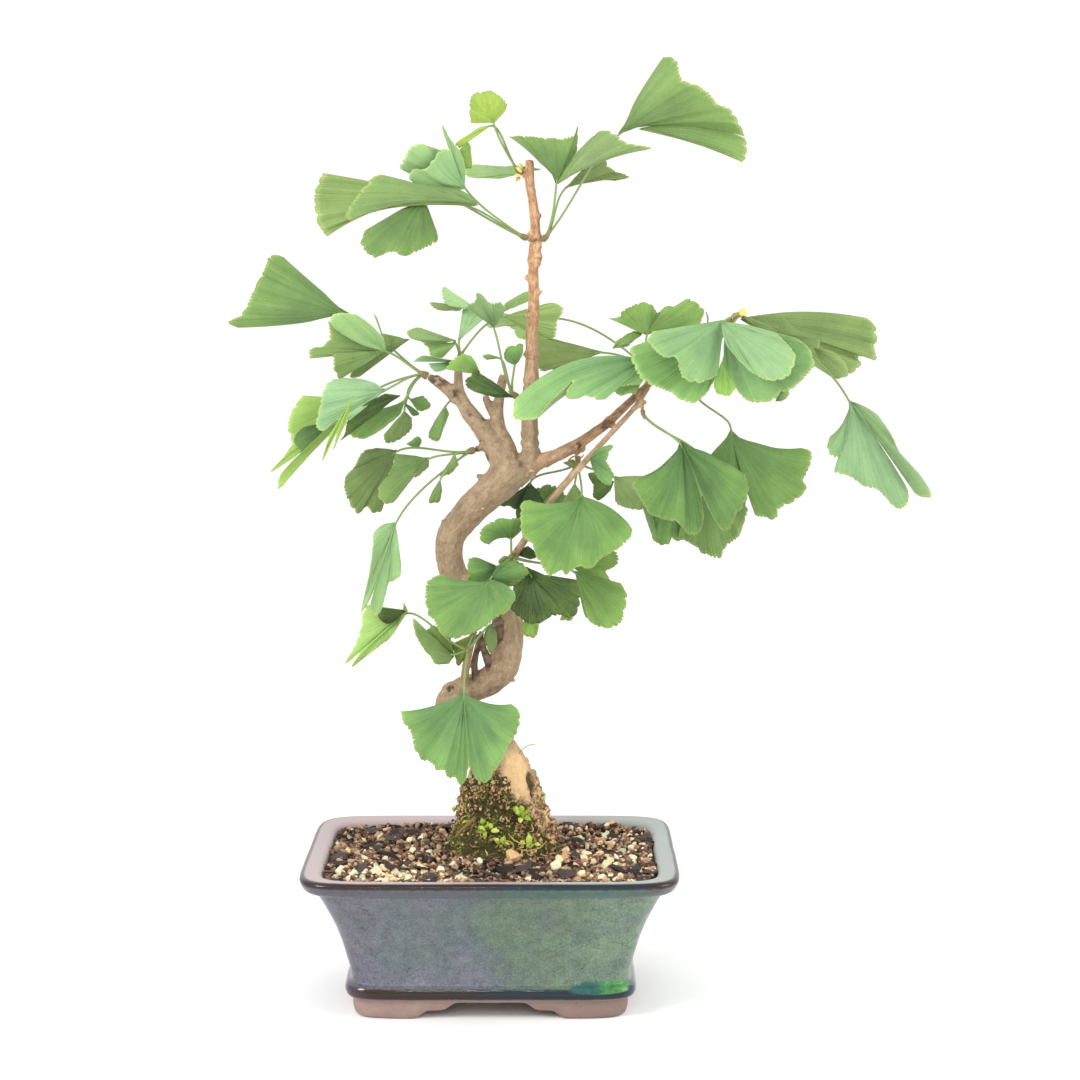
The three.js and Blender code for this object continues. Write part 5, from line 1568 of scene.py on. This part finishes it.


# %% [markdown]
# ## Raising the bark
#
# The heights are sums of noise at several sizes. Old wood carries shallow plates and furrows that
# run along it. The foot of the root is far rougher: on its right it breaks into knuckles, whose
# clefts are darkened with painted shade, and one smooth pale face is left at the front.

# %% Marks on the bark
LEADER_RINGS = [  # height and size in mm
    (297.4, 1.1), (301.5, 0.8), (307, 1.2), (335.3, 1.2), (348.5, 1.0), (369.7, 0.9), (398.6, 1.6),
    (410.7, 1.4),
]
BRANCH_JOINTS = (62, 78, 104, 119)
DARK_SPOTS = [  # x, z and size in mm
    (-28, 335, 7), (-19, 328, 4), (-11, 316.5, 1.6), (-4, 314, 1.8), (1, 311.5, 1.4), (-5.5, 303, 1.2),
    (47, 300, 3.5), (64, 313, 3.2), (24.5, 408, 3.2), (25.6, 398.5, 2.6),
]
PALE_SPOTS = [
    (-4.4, 266.2, 1.1), (-6.2, 264.6, 0.6), (-14.4, 252.7, 0.6), (22.1, 286.7, 1.5), (20, 284, 0.8),
    (2, 181, 0.7),
]
print(len(LEADER_RINGS), "rings,", len(DARK_SPOTS), "dark spots and", len(PALE_SPOTS), "pale ones")


# %% Bark heights
def ridges(points, size, seed):
    """Noise folded at zero, which turns its zero line into a sharp valley: |noise|."""
    return np.minimum(np.abs(lump(points, size, seed)), 1.2)


def bark_form(points, normals, grain, radius, number, seen):
    """How far each point is raised in mm, and the values that colour the bark."""
    x, z = seen.T

    def on(*names):
        """Which points lie on the limbs of these names."""
        return np.isin(number, [list(LIMBS).index(name) for name in names])

    def patchy(base, share, size, seed):
        return smooth(base + share * lump(points, size, seed))

    front = smooth((normals @ unit(EYE - [0, 0, 200]) + 0.1) / 0.3)
    thick = np.clip(radius / 9, 0.12, 1)
    leader = on("leader") & (z > 285)
    young = on("right", "shoot", "right_stub")
    branch = on("right")
    outer = branch * smooth((x - 42) / 22)
    ruddy = np.where(leader, smooth((z - 300) / 90), 0) + 0.35 * young + 0.4 * outer
    # The face of the root: a smooth oval between two rough flanks.
    low = smooth((134 - z + 6 * lump(points, 6, 60)) / 16)
    oval = np.hypot((x - 15 - 0.10 * (118 - z)) / 7.0, (z - 121) / 14)
    face = smooth(1.35 - oval + 0.12 * lump(points, 5, 31)) * front
    bridge = smooth((z - 112) / 8) * low * front * smooth((20 - x) / 3) * smooth((x - 4) / 5)
    face = np.clip(face + bridge, 0, 1)
    rough = low * (1 - face)
    furrows = 1 - ridges(grain * [1, 1, 0.16], 1.7, 13)
    height = thick * (0.50 * lump(grain * [1, 1, 0.6], 10, 11) + 0.16 * lump(grain * [1, 1, 0.5], 2.8, 12))
    height += thick * (0.16 * lump(points, 3.6, 18) - 0.18 * furrows**4)
    knuckles = ridges(points, 3.6, 15)
    height += rough * (1.5 * lump(points, 7.5, 14) + 0.9 * (knuckles - 0.5) + 0.5 * lump(points, 1.9, 16))
    # A cleft runs down the right of the face.
    away = seen - np.stack([21.5 + 1.2 * np.sin(z / 4), 0 * z], -1)
    height -= 1.3 * low * front * spot(away, 0, 115, 1.3, 11)
    # The clefts between the knuckles and the cleft down the face are darkened: painted shade in the creases.
    knuckle_cleft_shade = 0.8 * rough * (1 - np.clip(knuckles / 0.45, 0, 1))
    dark_marks_and_shade = [0.9 * knuckle_cleft_shade, 0.9 * low * front * spot(away, 0, 116, 1.3, 11)]
    # Rings where the leader grew on from a bud, and the joints of the right branch.
    bent_z = z + 0.5 * lump(points, 2.5, 51)
    worn = patchy(0.6, 0.8, 2, 52)
    for place, size in LEADER_RINGS:
        groove = near(bent_z, place - 2 * size, 0.9 * size)
        height += 0.42 * leader * (near(bent_z, place, 1.3 * size) - 0.7 * groove)
        dark_marks_and_shade.append(leader * 0.4 * near(bent_z, place - 2 * size, 0.8 * size) * worn)
    for place in BRANCH_JOINTS:
        height += 0.3 * branch * near(x, place, 0.9)
        dark_marks_and_shade.append(branch * 0.6 * near(x, place - 1.6, 0.9))
    # The callus that closed over a cut.
    apart = np.hypot(x + 21.8, (z - 168.2) * 1.2) + 0.5 * lump(points, 2, 57)
    height += front * (0.9 * near(apart, 3.0, 1.0) - 0.9 * near(apart, 0.6, 1.4))
    height -= 1.2 * spot(seen, 0.5, 197.5, 2.2, 2.0) * front * on("trunk")
    dark_marks_and_shade += [
        front * near(apart, 1.4, 1.3) * (0.55 + 0.25 * lump(points, 1.3, 58)),
        0.8 * spot(seen, -8.3, 297.5, 2.6) + 0.75 * spot(seen, -2.5, 293.5, 2.0, 1.6),
        on("old_left", "old_right", "old_knot") * (0.5 + 0.12 * lump(points, 3, 53)),
        outer * (0.40 + 0.18 * lump(points, 3, 55)),
        0.9 * spot(seen, 0.5, 195, 3.4, 1.6) * front,
        0.55 * spot(seen, 16, 290, 2.5, 1.0) * ~leader,
        # Painted shade: the wood is darkened on its right side, most on the leader and the young shoots.
        smooth(0.2 + 1.3 * normals[:, 0]) * (leader * 0.26 + young * 0.15 + 0.10),
    ]
    worn = patchy(0.75, 0.6, 1.8, 56)
    dark_marks_and_shade += [0.74 * spot(seen, *place, 0.8) * worn for place in DARK_SPOTS]
    chipped = front * patchy(0.7, 0.5, 1, 54)
    pale = np.maximum.reduce([spot(seen, *place, 0.6) * chipped for place in PALE_SPOTS])
    height += 0.35 * sum(spot(seen, *place, 0.6) * chipped for place in PALE_SPOTS)
    algae = 0.9 * spot(seen, -17, 257, 10, 0.9) + 1.1 * spot(seen, 6, 284, 12, 0.9)
    algae += 0.5 * spot(seen, 4, 191, 6, 2.2)
    values = {
        "ruddy": ruddy, "dark": np.maximum.reduce(dark_marks_and_shade), "pale": pale, "face": face, "rough": rough,
        "algae": algae * patchy(0.6, 0.6, 6, 17),
    }
    values = {name: np.clip(value, 0, 1) for name, value in values.items()}
    return height, {"grain": grain, **values}


def make_wood():
    piece = make_skin()
    mesh = piece.data
    edges = mesh_array(mesh.edges, "vertices", 2, np.int32)
    points = (mesh_array(mesh.vertices, "co", 3) - POT_MIDDLE) / MM
    points = smoothed(points, edges, 3)
    mesh.vertices.foreach_set("co", in_frame(points).ravel())
    mesh.update()
    normals = mesh_array(mesh.vertices, "normal", 3)
    grain, radius, number = on_limbs(points)
    height, values = bark_form(points, normals, grain, radius, number, seen_at(points))
    points = points + normals * height[:, None]
    mesh.vertices.foreach_set("co", in_frame(points).ravel())
    mesh.polygons.foreach_set("use_smooth", np.ones(len(mesh.polygons), bool))
    carry(mesh, values, None)
    mesh.update()
    if not mesh.materials:
        mesh.materials.append(bark)
    print("wood after the remesh:", 2 * len(mesh.polygons), "triangles")
    dress(piece, "bark", "trunk")


# %% [markdown]
# ## Bark colours
#
# The bark is a light tan, streaked along the grain with brown. The young leader shines red-brown
# through its thin grey skin. Clefts are painted nearly black, which is painted shade, and the bare
# face of the root is cream. The right side of the wood is darkened with painted shade.

# %% The bark finish
BARK_LIGHT = (0.52, 0.375, 0.245)
BARK_MIDDLE = (0.35, 0.25, 0.155)
BARK_BROWN = (0.19, 0.125, 0.072)
RUDDY_LIGHT = (0.70, 0.43, 0.23)
RUDDY_DARK = (0.36, 0.155, 0.070)
BARK_RAMP = [(0.0, BARK_BROWN), (0.45, BARK_MIDDLE), (0.85, BARK_LIGHT), (1.0, (0.66, 0.49, 0.33))]
RUDDY_RAMP = [(0.15, RUDDY_DARK), (0.75, RUDDY_LIGHT), (1.0, (0.82, 0.54, 0.32))]
FLAKE_RAMP = [
    (0.25, (0.055, 0.032, 0.018)), (0.42, (0.23, 0.125, 0.055)), (0.58, (0.66, 0.45, 0.23)),
    (0.85, (0.93, 0.72, 0.44)),
]
FACE_RAMP = [(0.2, (0.40, 0.24, 0.11)), (0.5, (0.72, 0.475, 0.235)), (0.9, (0.86, 0.60, 0.33))]


def make_bark_finish():
    stuff = Finish("bark")
    where = stuff.place()
    grain = stuff.attribute("grain", "Vector")
    fibres = stuff.noise(stuff.stretch(grain, (1, 1, 0.22)), 1.7, 5, 0.7) - 0.5
    streaks = stuff.noise(stuff.stretch(grain, (1, 1, 0.3)), 0.42, 4, 0.6) - 0.5
    pores = stuff.cells(stuff.stretch(grain, (0.45, 0.45, 1.1)), 0.9).step(0.26, 0.12)
    mottle = stuff.noise(where, 0.32, 5, 0.68) - 0.5
    fine = stuff.noise(where, 2.0, 4, 0.7) - 0.5
    shade = fibres * 0.9 + streaks * 0.7 + mottle * 1.3 + fine * 0.5 + pores * 0.16
    red = stuff.ramp(RUDDY_RAMP, 0.46 + fibres * 1.6 + streaks * 1.5 + mottle * 0.9 + pores * 0.2)
    algae = stuff.attribute("algae") * (0.45 + mottle * 1.6)
    specks = stuff.cells(where, 0.75).step(0.34, 0.20) * (algae + fine).step(0.30, 0.5)
    dark = (stuff.attribute("dark") + mottle * 0.5 + fine * 0.3).step(0.12, 0.75)
    colour = stuff.layers(
        stuff.ramp(BARK_RAMP, 0.43 + shade),
        (stuff.attribute("ruddy") * 0.85, red),
        (algae.step(0.10, 0.75) * 0.75, (0.17, 0.15, 0.075)),
        (specks * 0.7, (0.085, 0.075, 0.032)),
        (stuff.attribute("rough"), stuff.ramp(FLAKE_RAMP, 0.52 + mottle * 1.4 + fine * 0.8)),
        (stuff.attribute("face"), stuff.ramp(FACE_RAMP, 0.6 + mottle * 0.9 + fine * 0.4 + streaks * 0.4)),
        # The dark layer holds real dark marks and painted shade: the clefts and the right side of the wood.
        (dark * 0.9, (0.045, 0.026, 0.016)),
        (stuff.attribute("pale").step(0.3, 0.6) * 0.85, (0.80, 0.66, 0.42)),
    )
    stuff.paint(
        Base_Color=colour,
        Roughness=0.78 - stuff.attribute("ruddy") * 0.22 + fine * 0.2,
        Normal=stuff.bump(fibres * 0.22 + fine * 0.16 + mottle * 0.30 + pores * 0.08),
        Specular_IOR_Level=0.3,
    )
    return stuff.material


bark = make_bark_finish()
make_wood()

# %% [markdown]
# ## The moss
#
# Moss has crept over the shaded side of the root and out onto the soil. It is a low cushion of
# tiny shoots, with old brown fibres of root bark caught in it. The cushion is one skin round the
# root, lifted above the bark where moss grows and sunk below it elsewhere. The shoots and fibres
# that stand on it are set out in the same two coordinates: the turn round the root, and the height.

# %% The skin round the root
ROOT_CENTRES, ROOT_RADII = limb_path(LIMBS["trunk"][:8])
MOSS_LOW = SOIL_TOP + GAP
MOSS_TOP = [
    (-30, 98), (-20, 108), (-12, 117), (-5, 121), (3, 124), (8, 121), (10.5, 111), (16, 105), (22, 98),
    (27, 89), (33, 80), (40, 74),
]


def round_root(turns, z, lift):
    """The point at a turn round the root and a height, lifted from the plain round form."""
    x, y, r = (np.interp(z, ROOT_CENTRES[:, 2], values) for values in (*ROOT_CENTRES.T[:2], ROOT_RADII))
    out = np.stack([np.cos(turns), np.sin(turns), 0 * z], -1)
    return np.stack([x, y, z], -1) + out * (r + lift)[..., None]


def moss_share(turns, z):
    """1 where moss grows. On the front it ends at a ragged line, which is lower behind."""
    points = round_root(turns, z, 0 * z)
    seen_x = seen_at(points.reshape(-1, 3))[:, 0].reshape(z.shape)
    top = np.interp(seen_x, *np.array(MOSS_TOP, float).T)
    behind = smooth((np.sin(turns) - 0.1) / 0.5)
    top = top * (1 - behind) + (96 - 0.9 * (seen_x + 20)) * behind
    return smooth((top - z + 3.2 * lump(points, 6, 41) + 1.4 * lump(points, 2, 45)) / 5)


def moss_lift(turns, z):
    """Height of the cushion above the round form of the root."""
    share = moss_share(turns, z)
    points = round_root(turns, z, 0 * z)
    cushion = 2.4 + 1.1 * lump(points, 5, 42) + 0.5 * lump(points, 1.6, 43)
    skirt = 2.2 * smooth((84 - z) / 9)
    return share * (cushion + skirt) - (1 - share) * 3


def make_moss_bed():
    """The skin in rings from the soil up, closed at both ends."""
    sides, rows = 210, 72
    turns = np.linspace(0, 2 * np.pi, sides, endpoint=False)
    turns, z = np.meshgrid(turns, np.linspace(MOSS_LOW - 1.5, 128, rows))
    quads = grid_faces(rows, sides, wrap=True)
    return Shape(round_root(turns, z, moss_lift(turns, z)), [quads, *end_caps(rows, sides)], tone=0.22)


print("the moss climbs to", max(top for _, top in MOSS_TOP), "mm")

# %% [markdown]
# ## Moss colours
#
# Moss is dark where it is old and wet, and a yellow-green where its tips are new. One ramp runs
# from nearly black, through olive, to that yellow-green, and each shoot carries its place on it.

# %% Moss finishes
def make_moss_finish(name, stops, spread):
    stuff = Finish(name)
    where = stuff.place()
    cloud = stuff.noise(where, 0.5, 5, 0.7) - 0.5
    fine = stuff.noise(where, 2.6, 3, 0.7) - 0.5
    colour = stuff.ramp(stops, stuff.attribute("tone") + cloud * spread + fine * spread * 0.7)
    stuff.paint(
        Base_Color=colour,
        Roughness=0.85 + fine * 0.2,
        Normal=stuff.bump(cloud * 0.5 + fine * 0.25),
        Specular_IOR_Level=0.25,
    )
    return stuff.material


MOSS_GREEN = [
    (0.0, (0.030, 0.020, 0.010)), (0.2, (0.085, 0.060, 0.028)), (0.38, (0.085, 0.110, 0.026)),
    (0.6, (0.19, 0.27, 0.038)), (0.82, (0.42, 0.56, 0.07)), (1.0, (0.60, 0.72, 0.15)),
]
FIBRE_TAN = [
    (0.0, (0.10, 0.055, 0.028)), (0.35, (0.32, 0.18, 0.075)), (0.7, (0.62, 0.41, 0.19)),
    (1.0, (0.84, 0.64, 0.34)),
]
moss_green = make_moss_finish("moss_green", MOSS_GREEN, 0.5)
fibre_tan = make_moss_finish("fibre_tan", FIBRE_TAN, 0.25)
dress(make("moss_bed", make_moss_bed(), moss_green), "moss", "moss")

# %% [markdown]
# ## What stands on the moss
#
# Shoots are three-sided cones, fibres are thin tubes, and crumbs are grains like those of the soil.
# All of them are set out on the skin. The seedlings are leaflets that rise from a few places.

# %% Shoots
def spikes(feet, ways, lengths, radii, bend, **values):
    """Curved three-sided cones, all at once: three rings of three points that shrink along each
    way, and a tip. bend moves the upper rings sideways."""
    side = unit(np.cross(ways, bend))
    ring = circle(side, np.cross(ways, side), 3)
    rows = []
    for share, width in ((0, 1), (0.4, 0.95), (0.75, 0.6), (1, 0)):
        centre = feet + ways * (lengths * share)[:, None] + bend * (lengths * share**2)[:, None]
        rows.append(centre[:, None] + ring * (radii * width)[:, None, None])
    points = np.concatenate([*rows[:3], rows[3][:, :1]], axis=1)
    triangles = [(6, 7, 9), (7, 8, 9), (8, 6, 9), (2, 1, 0)]
    step = 10 * np.arange(len(feet))[:, None, None]
    faces = [(group + step).reshape(-1, len(group[0])) for group in (grid_faces(3, 3, wrap=True), triangles)]
    return Shape(points, faces, **{name: np.repeat(value, 10) for name, value in values.items()})


def out_of_root(turns, z):
    """The skin's outward direction, tipped up a little."""
    return unit(np.stack([np.cos(turns), np.sin(turns), 0 * z + 0.35], -1))


# Bells on the drawing plane: weight, x, z, size in mm, and height over width.
TUFTS = [(1, -2.5, 93, 5, 1.1), (1, 16.6, 100, 3.6, 1.2), (0.8, -13, 92, 2.4, 1), (0.7, 4, 84, 7, 0.6)]
CRUMB_CROWDS = [(1.2, -17, 108, 5, 2.2), (0.9, 0, 113, 9, 0.4), (0.4, 14, 84, 14, 0.6)]


def crowd_at(seen, bells):
    """The sum of some weighted bells at places of the drawing plane."""
    return sum(weight * spot(seen, *bell) for weight, *bell in bells)


SHOOT_COUNT = 4600


def make_shoots(draw, count):
    """Shoots wherever moss grows, and brighter ones in a few young tufts."""
    turns = draw.uniform(0, 2 * np.pi, 6 * count)
    z = MOSS_LOW + 46 * draw.uniform(0, 1, 6 * count) ** 1.3
    keep = np.flatnonzero(draw.uniform(size=len(z)) < moss_share(turns, z))[:count]
    turns, z = turns[keep], z[keep]
    feet = round_root(turns, z, moss_lift(turns, z) - 0.4)
    ways = unit(out_of_root(turns, z) + 0.55 * draw.normal(size=(len(z), 3)))
    tufts = np.clip(crowd_at(seen_at(feet), TUFTS), 0, 1)
    green = 0.42 + 0.22 * lump(feet, 5, 44) + 0.14 * draw.normal(size=len(z))
    tone = np.clip(green + 0.5 * tufts * draw.uniform(0.5, 1.3, len(z)), 0.02, 1)
    lengths = draw.uniform(0.8, 1.9, len(z)) * (1 + 0.6 * tufts)
    radii = draw.uniform(0.16, 0.36, len(z))
    return spikes(feet, ways, lengths, radii, 0.35 * draw.normal(size=(len(z), 3)), tone=tone)


draw = np.random.default_rng(31)
dress(make("moss_shoots", make_shoots(draw, SHOOT_COUNT), moss_green), "moss")

# %% Fibres and crumbs
FIBRE_COUNT, CRUMB_COUNT = 150, 760


def make_fibres(draw, count):
    """Old bark fibres: thin tubes whose turn, height and lift wander along their length."""
    fibres = []
    while len(fibres) < count:
        turn, z = draw.uniform(np.pi * 0.75, np.pi * 1.95), draw.uniform(76, 112)
        if moss_share(np.array([turn]), np.array([z]))[0] < 0.6:
            continue
        t = np.linspace(0, 1, 9)
        length = draw.uniform(2.5, 8)
        angle = draw.uniform(0, 2 * np.pi) + draw.normal() * 2.8 * t
        wind, climb = np.cumsum([np.cos(angle), np.sin(angle)], axis=1) / 9 * length
        turns, heights = turn + wind / 26, np.maximum(z + climb * 0.8, MOSS_LOW + 0.4)
        lift = moss_lift(turns, heights).clip(1) + 0.9 + draw.uniform(0.2, 1.6) * np.sin(np.pi * t)
        radii = draw.uniform(0.14, 0.36) * (1.05 - t**3)
        fibres.append(tube(round_root(turns, heights, lift), radii, 5, tone=draw.uniform(0, 1)))
    return joined(fibres)


def make_crumbs(draw, count):
    """Crumbs of old bark in the moss. They lie thickest on its left flank and along its top."""
    turns = draw.uniform(np.pi * 0.6, np.pi * 2.1, 9 * count)
    z = draw.uniform(MOSS_LOW, 122, 9 * count)
    crowd = 0.10 + crowd_at(seen_at(round_root(turns, z, 0 * z)), CRUMB_CROWDS)
    keep = np.flatnonzero(draw.uniform(size=len(z)) < crowd * moss_share(turns, z))[:count]
    places = round_root(turns[keep], z[keep], moss_lift(turns[keep], z[keep]) + 0.3)
    sizes = draw.uniform(0.3, 0.85, (len(keep), 1)) * draw.uniform(0.4, 1.7, (len(keep), 3))
    grains = make_grains(places, sizes, draw, 0.3)
    return Shape(grains.points, grains.faces, tone=0.25 + 0.75 * grains.values["tone"])


dress(make("moss_fibres", make_fibres(draw, FIBRE_COUNT), fibre_tan), "moss")
dress(make("moss_crumbs", make_crumbs(draw, CRUMB_COUNT), fibre_tan, smooth=False), "moss")


# %% Seedlings
def small_leaf(foot, tip, width, tone):
    """A pointed leaflet, closed on both faces: width times sin(pi t) to the power 0.8, arched."""
    t = np.linspace(0, 1, 9)[:, None, None]
    u = np.linspace(-1, 1, 5)[None, :, None]
    way = tip - foot
    side = unit(np.cross(way, [0, -0.8, 0.6]))
    lift = unit(np.cross(side, way))
    half = width * np.sin(np.pi * t**0.8) ** 0.8
    arch = np.linalg.norm(way) * 0.22 * np.sin(np.pi * t) - 0.35 * half * u * u
    front = foot + way * t + side * u * half + lift * arch
    points = np.concatenate([front, front - lift * 0.12])
    sheet = grid_faces(9, 5)
    rim = np.r_[np.arange(0, 5), np.arange(9, 45, 5), np.arange(43, 39, -1), np.arange(35, 0, -5)]
    after = np.roll(rim, -1)
    edge = np.stack([rim, after, after + 45, rim + 45], -1)
    return Shape(points, [sheet[:, ::-1], sheet + 45, edge], tone=tone)


SEEDLINGS = [  # x, z, depth, how many leaves, and their length in mm
    (-2.5, 91, -28, 12, 5.2), (16.6, 99, -25, 10, 5.4), (20, 81, -30, 6, 5.6), (5, 83, -30, 8, 4.6),
    (-20, 101, -8, 4, 3.0), (-14, 95, -18, 4, 3.0),
]


def make_seedlings(draw):
    """Bright tufts of little leaves at a few places on the drawing plane."""
    leaves = []
    for x, z, depth, count, size in SEEDLINGS:
        for _ in range(count):
            way = unit(draw.normal(size=3) * [1, 0.5, 0.8] + [0, -0.5, 0.6]) * size * draw.uniform(0.6, 1.2)
            foot = at((x + draw.normal() * size * 0.35, z + draw.normal() * size * 0.2, depth))
            width, tone = size * draw.uniform(0.18, 0.34), draw.uniform(0.72, 1)
            leaves.append(small_leaf(foot, foot + way, width, tone))
    return joined(leaves)


dress(make("moss_seedlings", make_seedlings(draw), moss_green), "moss")

# %% [markdown]
# ## Small things
#
# A plant in growth also carries what is easy to overlook: curled bud scales, a dry leaf stalk, a
# hair root and a strip of old bark. Each is a thin tube or a leaflet through a few places on the
# drawing plane. The plastic screens over the drain holes keep their plain solids, and only need a
# finish.

# %% Curls, scales and a hair root
WISPS = [  # places, radius and tone
    ([(13.4, 129.7, -4), (17, 135, -8), (21, 137.5, -9), (24.8, 137.4, -7)], 0.28, 0.55),
    ([(46.5, 295, -2), (43.5, 294, -6), (41.4, 291.5, -7), (42.5, 289.3, -6), (44.2, 290, -5)], 0.5, 0.35),
    ([(46, 297.5, -2), (45.6, 295.2, -8), (48.2, 293.8, -9), (50, 295.5, -8)], 0.45, 0.4),
    ([(114.4, 371.3, 4), (115.4, 368, 4), (115, 364.4, 5)], 0.5, 0.45),
    ([(-9, 97.4, -30), (-12, 94, -31), (-16, 90.5, -31), (-20, 85.7, -30)], 0.9, 0.3),
    ([(9, 88, -28), (13, 84, -33), (18, 82.5, -34), (22, 85, -33)], 0.3, 0.7),
    ([(14, 80, -33), (19, 78.6, -35), (26, 80, -34), (30, 84, -31)], 0.34, 0.6),
    ([(2, 80, -32), (6, 84, -32), (11, 83, -33), (12, 79, -34)], 0.3, 0.65),
]
SCALES = [  # foot, how far the tip lies from it, half width and tone
    ((131, 369.4, 7), (6, 1.4), 1.7, 0.95), ((131, 370, 8), (5, 3), 1.1, 0.9),
    ((127.6, 369, 6), (4.4, 0.6), 1.9, 0.5), ((17, 444.5, -4), (-3.4, 2.6), 1.4, 0.95),
    ((16.4, 443, -5), (-3.6, -0.6), 1.3, 0.9), ((17, 446, -3), (-1.6, 3.4), 1.2, 0.9),
    ((16, 442, -5), (-2.4, -2.4), 1.0, 0.6),
]


def make_wisps():
    """Tubes whose ends are thinner than their middle, and leaflets for the scales."""
    shapes = []
    for places, radius, tone in WISPS:
        centres = at(through(places, 6 * len(places)))
        t = np.linspace(0, 1, len(centres))
        shapes.append(tube(centres, radius * (0.55 + 0.45 * np.sin(np.pi * t)), 7, tone=tone))
    for (x, z, depth), way, width, tone in SCALES:
        foot, tip = at([(x, z, depth), (x + way[0], z + way[1], depth - 1.5)])
        shapes.append(small_leaf(foot, tip, width, tone))
    return joined(shapes)


SCALE_GOLD = [
    (0.0, (0.12, 0.06, 0.03)), (0.45, (0.36, 0.20, 0.09)), (0.8, (0.70, 0.52, 0.14)),
    (1.0, (0.80, 0.72, 0.24)),
]
scale_gold = make_moss_finish("scale_gold", SCALE_GOLD, 0.25)
dress(make("wisps", make_wisps(), scale_gold), "bark")


# %% The drain screens
def make_screen_finish():
    """Dark green polythene, dusted with soil where it lies low."""
    plastic = Finish("screen_plastic")
    where = plastic.place()
    cloud = plastic.noise(where, 0.3, 4, 0.65)
    dust = (cloud + plastic.noise(where, 1.8, 3, 0.7) * 0.5).step(0.72, 0.95)
    colour = plastic.mix(cloud, (0.020, 0.060, 0.032), (0.035, 0.095, 0.050))
    plastic.paint(
        Base_Color=plastic.mix(dust, colour, (0.16, 0.10, 0.065)),
        Roughness=0.42 + dust * 0.4,
        Normal=plastic.bump(cloud * 0.2 + dust * 0.3, 0.6),
    )
    return plastic.material


screen_plastic = make_screen_finish()
for side in ("left", "right"):
    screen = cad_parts["drain_screen_" + side]
    screen.data.materials.clear()
    screen.data.materials.append(screen_plastic)
print("screens dressed:", 2)

# %% [markdown]
# ## The studio
#
# A bonsai is shown on plain white, lit from all round, so that only its own shades are seen. The
# floor is one large pale sheet, the world is as bright as the paper, and two soft lamps give the
# leaves and the glaze their shape. A narrow strip puts a glint on the rolled rim. The camera stands
# level with the crown and looks down a little.

# %% The camera
CAMERA_PITCH = 0.1215  # radians below level
CAMERA_LENS = 75.07  # mm


def make_camera():
    camera = bpy.data.objects.new("camera", bpy.data.cameras.new("camera"))
    camera.location = in_frame(EYE)
    camera.rotation_euler = (np.pi / 2 - CAMERA_PITCH, 0, 0)
    camera.data.lens = CAMERA_LENS
    camera.data.sensor_width = 36
    camera.data.clip_end = 100
    bpy.context.scene.collection.objects.link(camera)
    bpy.context.scene.camera = camera


make_camera()
print("the camera stands", round(-EYE[1]), "mm away")

# %% The floor
FLOOR_HALF = 9000  # mm
FLOOR_GAP = 0.05  # mm under the feet


def make_floor():
    """A square sheet just under the feet."""
    corners = FLOOR_HALF * np.array([(-1, -1, 0), (1, -1, 0), (1, 1, 0), (-1, 1, 0)]) - [0, 0, FLOOR_GAP]
    paper = Finish("white_paper")
    grain = paper.noise(paper.place(), 0.02)
    shade = paper.mix(grain, (0.965, 0.965, 0.965), (0.985, 0.985, 0.985))
    paper.paint(Base_Color=shade, Roughness=0.9, Specular_IOR_Level=0.1)
    make("floor", Shape(corners, [[[0, 1, 2, 3]]]), paper.material)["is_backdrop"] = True


make_floor()

# %% Lamps and world
WORLD_BRIGHTNESS = 1.06


def make_lamp(name, place, aim, size, power, flat=1):
    """A soft lamp of a size at a place, in metres, that faces another place, with its power in
    watts. flat is its height over its width."""
    lamp = bpy.data.objects.new(name, bpy.data.lights.new(name, "AREA"))
    lamp.data.shape, lamp.data.size, lamp.data.size_y = "RECTANGLE", size, size * flat
    lamp.data.energy = power
    lamp.location = place
    lamp.rotation_euler = (Vector(aim) - Vector(place)).to_track_quat("-Z", "Y").to_euler()
    bpy.context.scene.collection.objects.link(lamp)


def make_world(brightness):
    world = bpy.data.worlds.new("studio")
    world.use_nodes = True
    background = world.node_tree.nodes["Background"]
    background.inputs["Color"].default_value = (1, 1, 1, 1)
    background.inputs["Strength"].default_value = brightness
    bpy.context.scene.world = world


make_world(WORLD_BRIGHTNESS)
make_lamp("lamp_left", (-1.3, -1.0, 1.3), (0, 0, 0.25), 0.5, 18)
make_lamp("lamp_right", (1.3, -0.5, 0.9), (0, 0, 0.25), 0.8, 10)
make_lamp("lamp_strip", in_frame(EYE + [-100, 0, 350]), (0, 0, 0.05), 0.12, 0.9, 0.08)
bpy.context.scene.view_settings.view_transform = "Standard"

# %% [markdown]
# ## Last checks
#
# The last cell prints, in millimetres, how far the box of the dressed plant differs from the box
# of its solids.

# %% Sizes and the end
visual_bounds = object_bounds()
for before, after in zip(cad_bounds, visual_bounds):
    print("boxes differ by", [round((b - a) / MM, 1) for a, b in zip(before, after)])
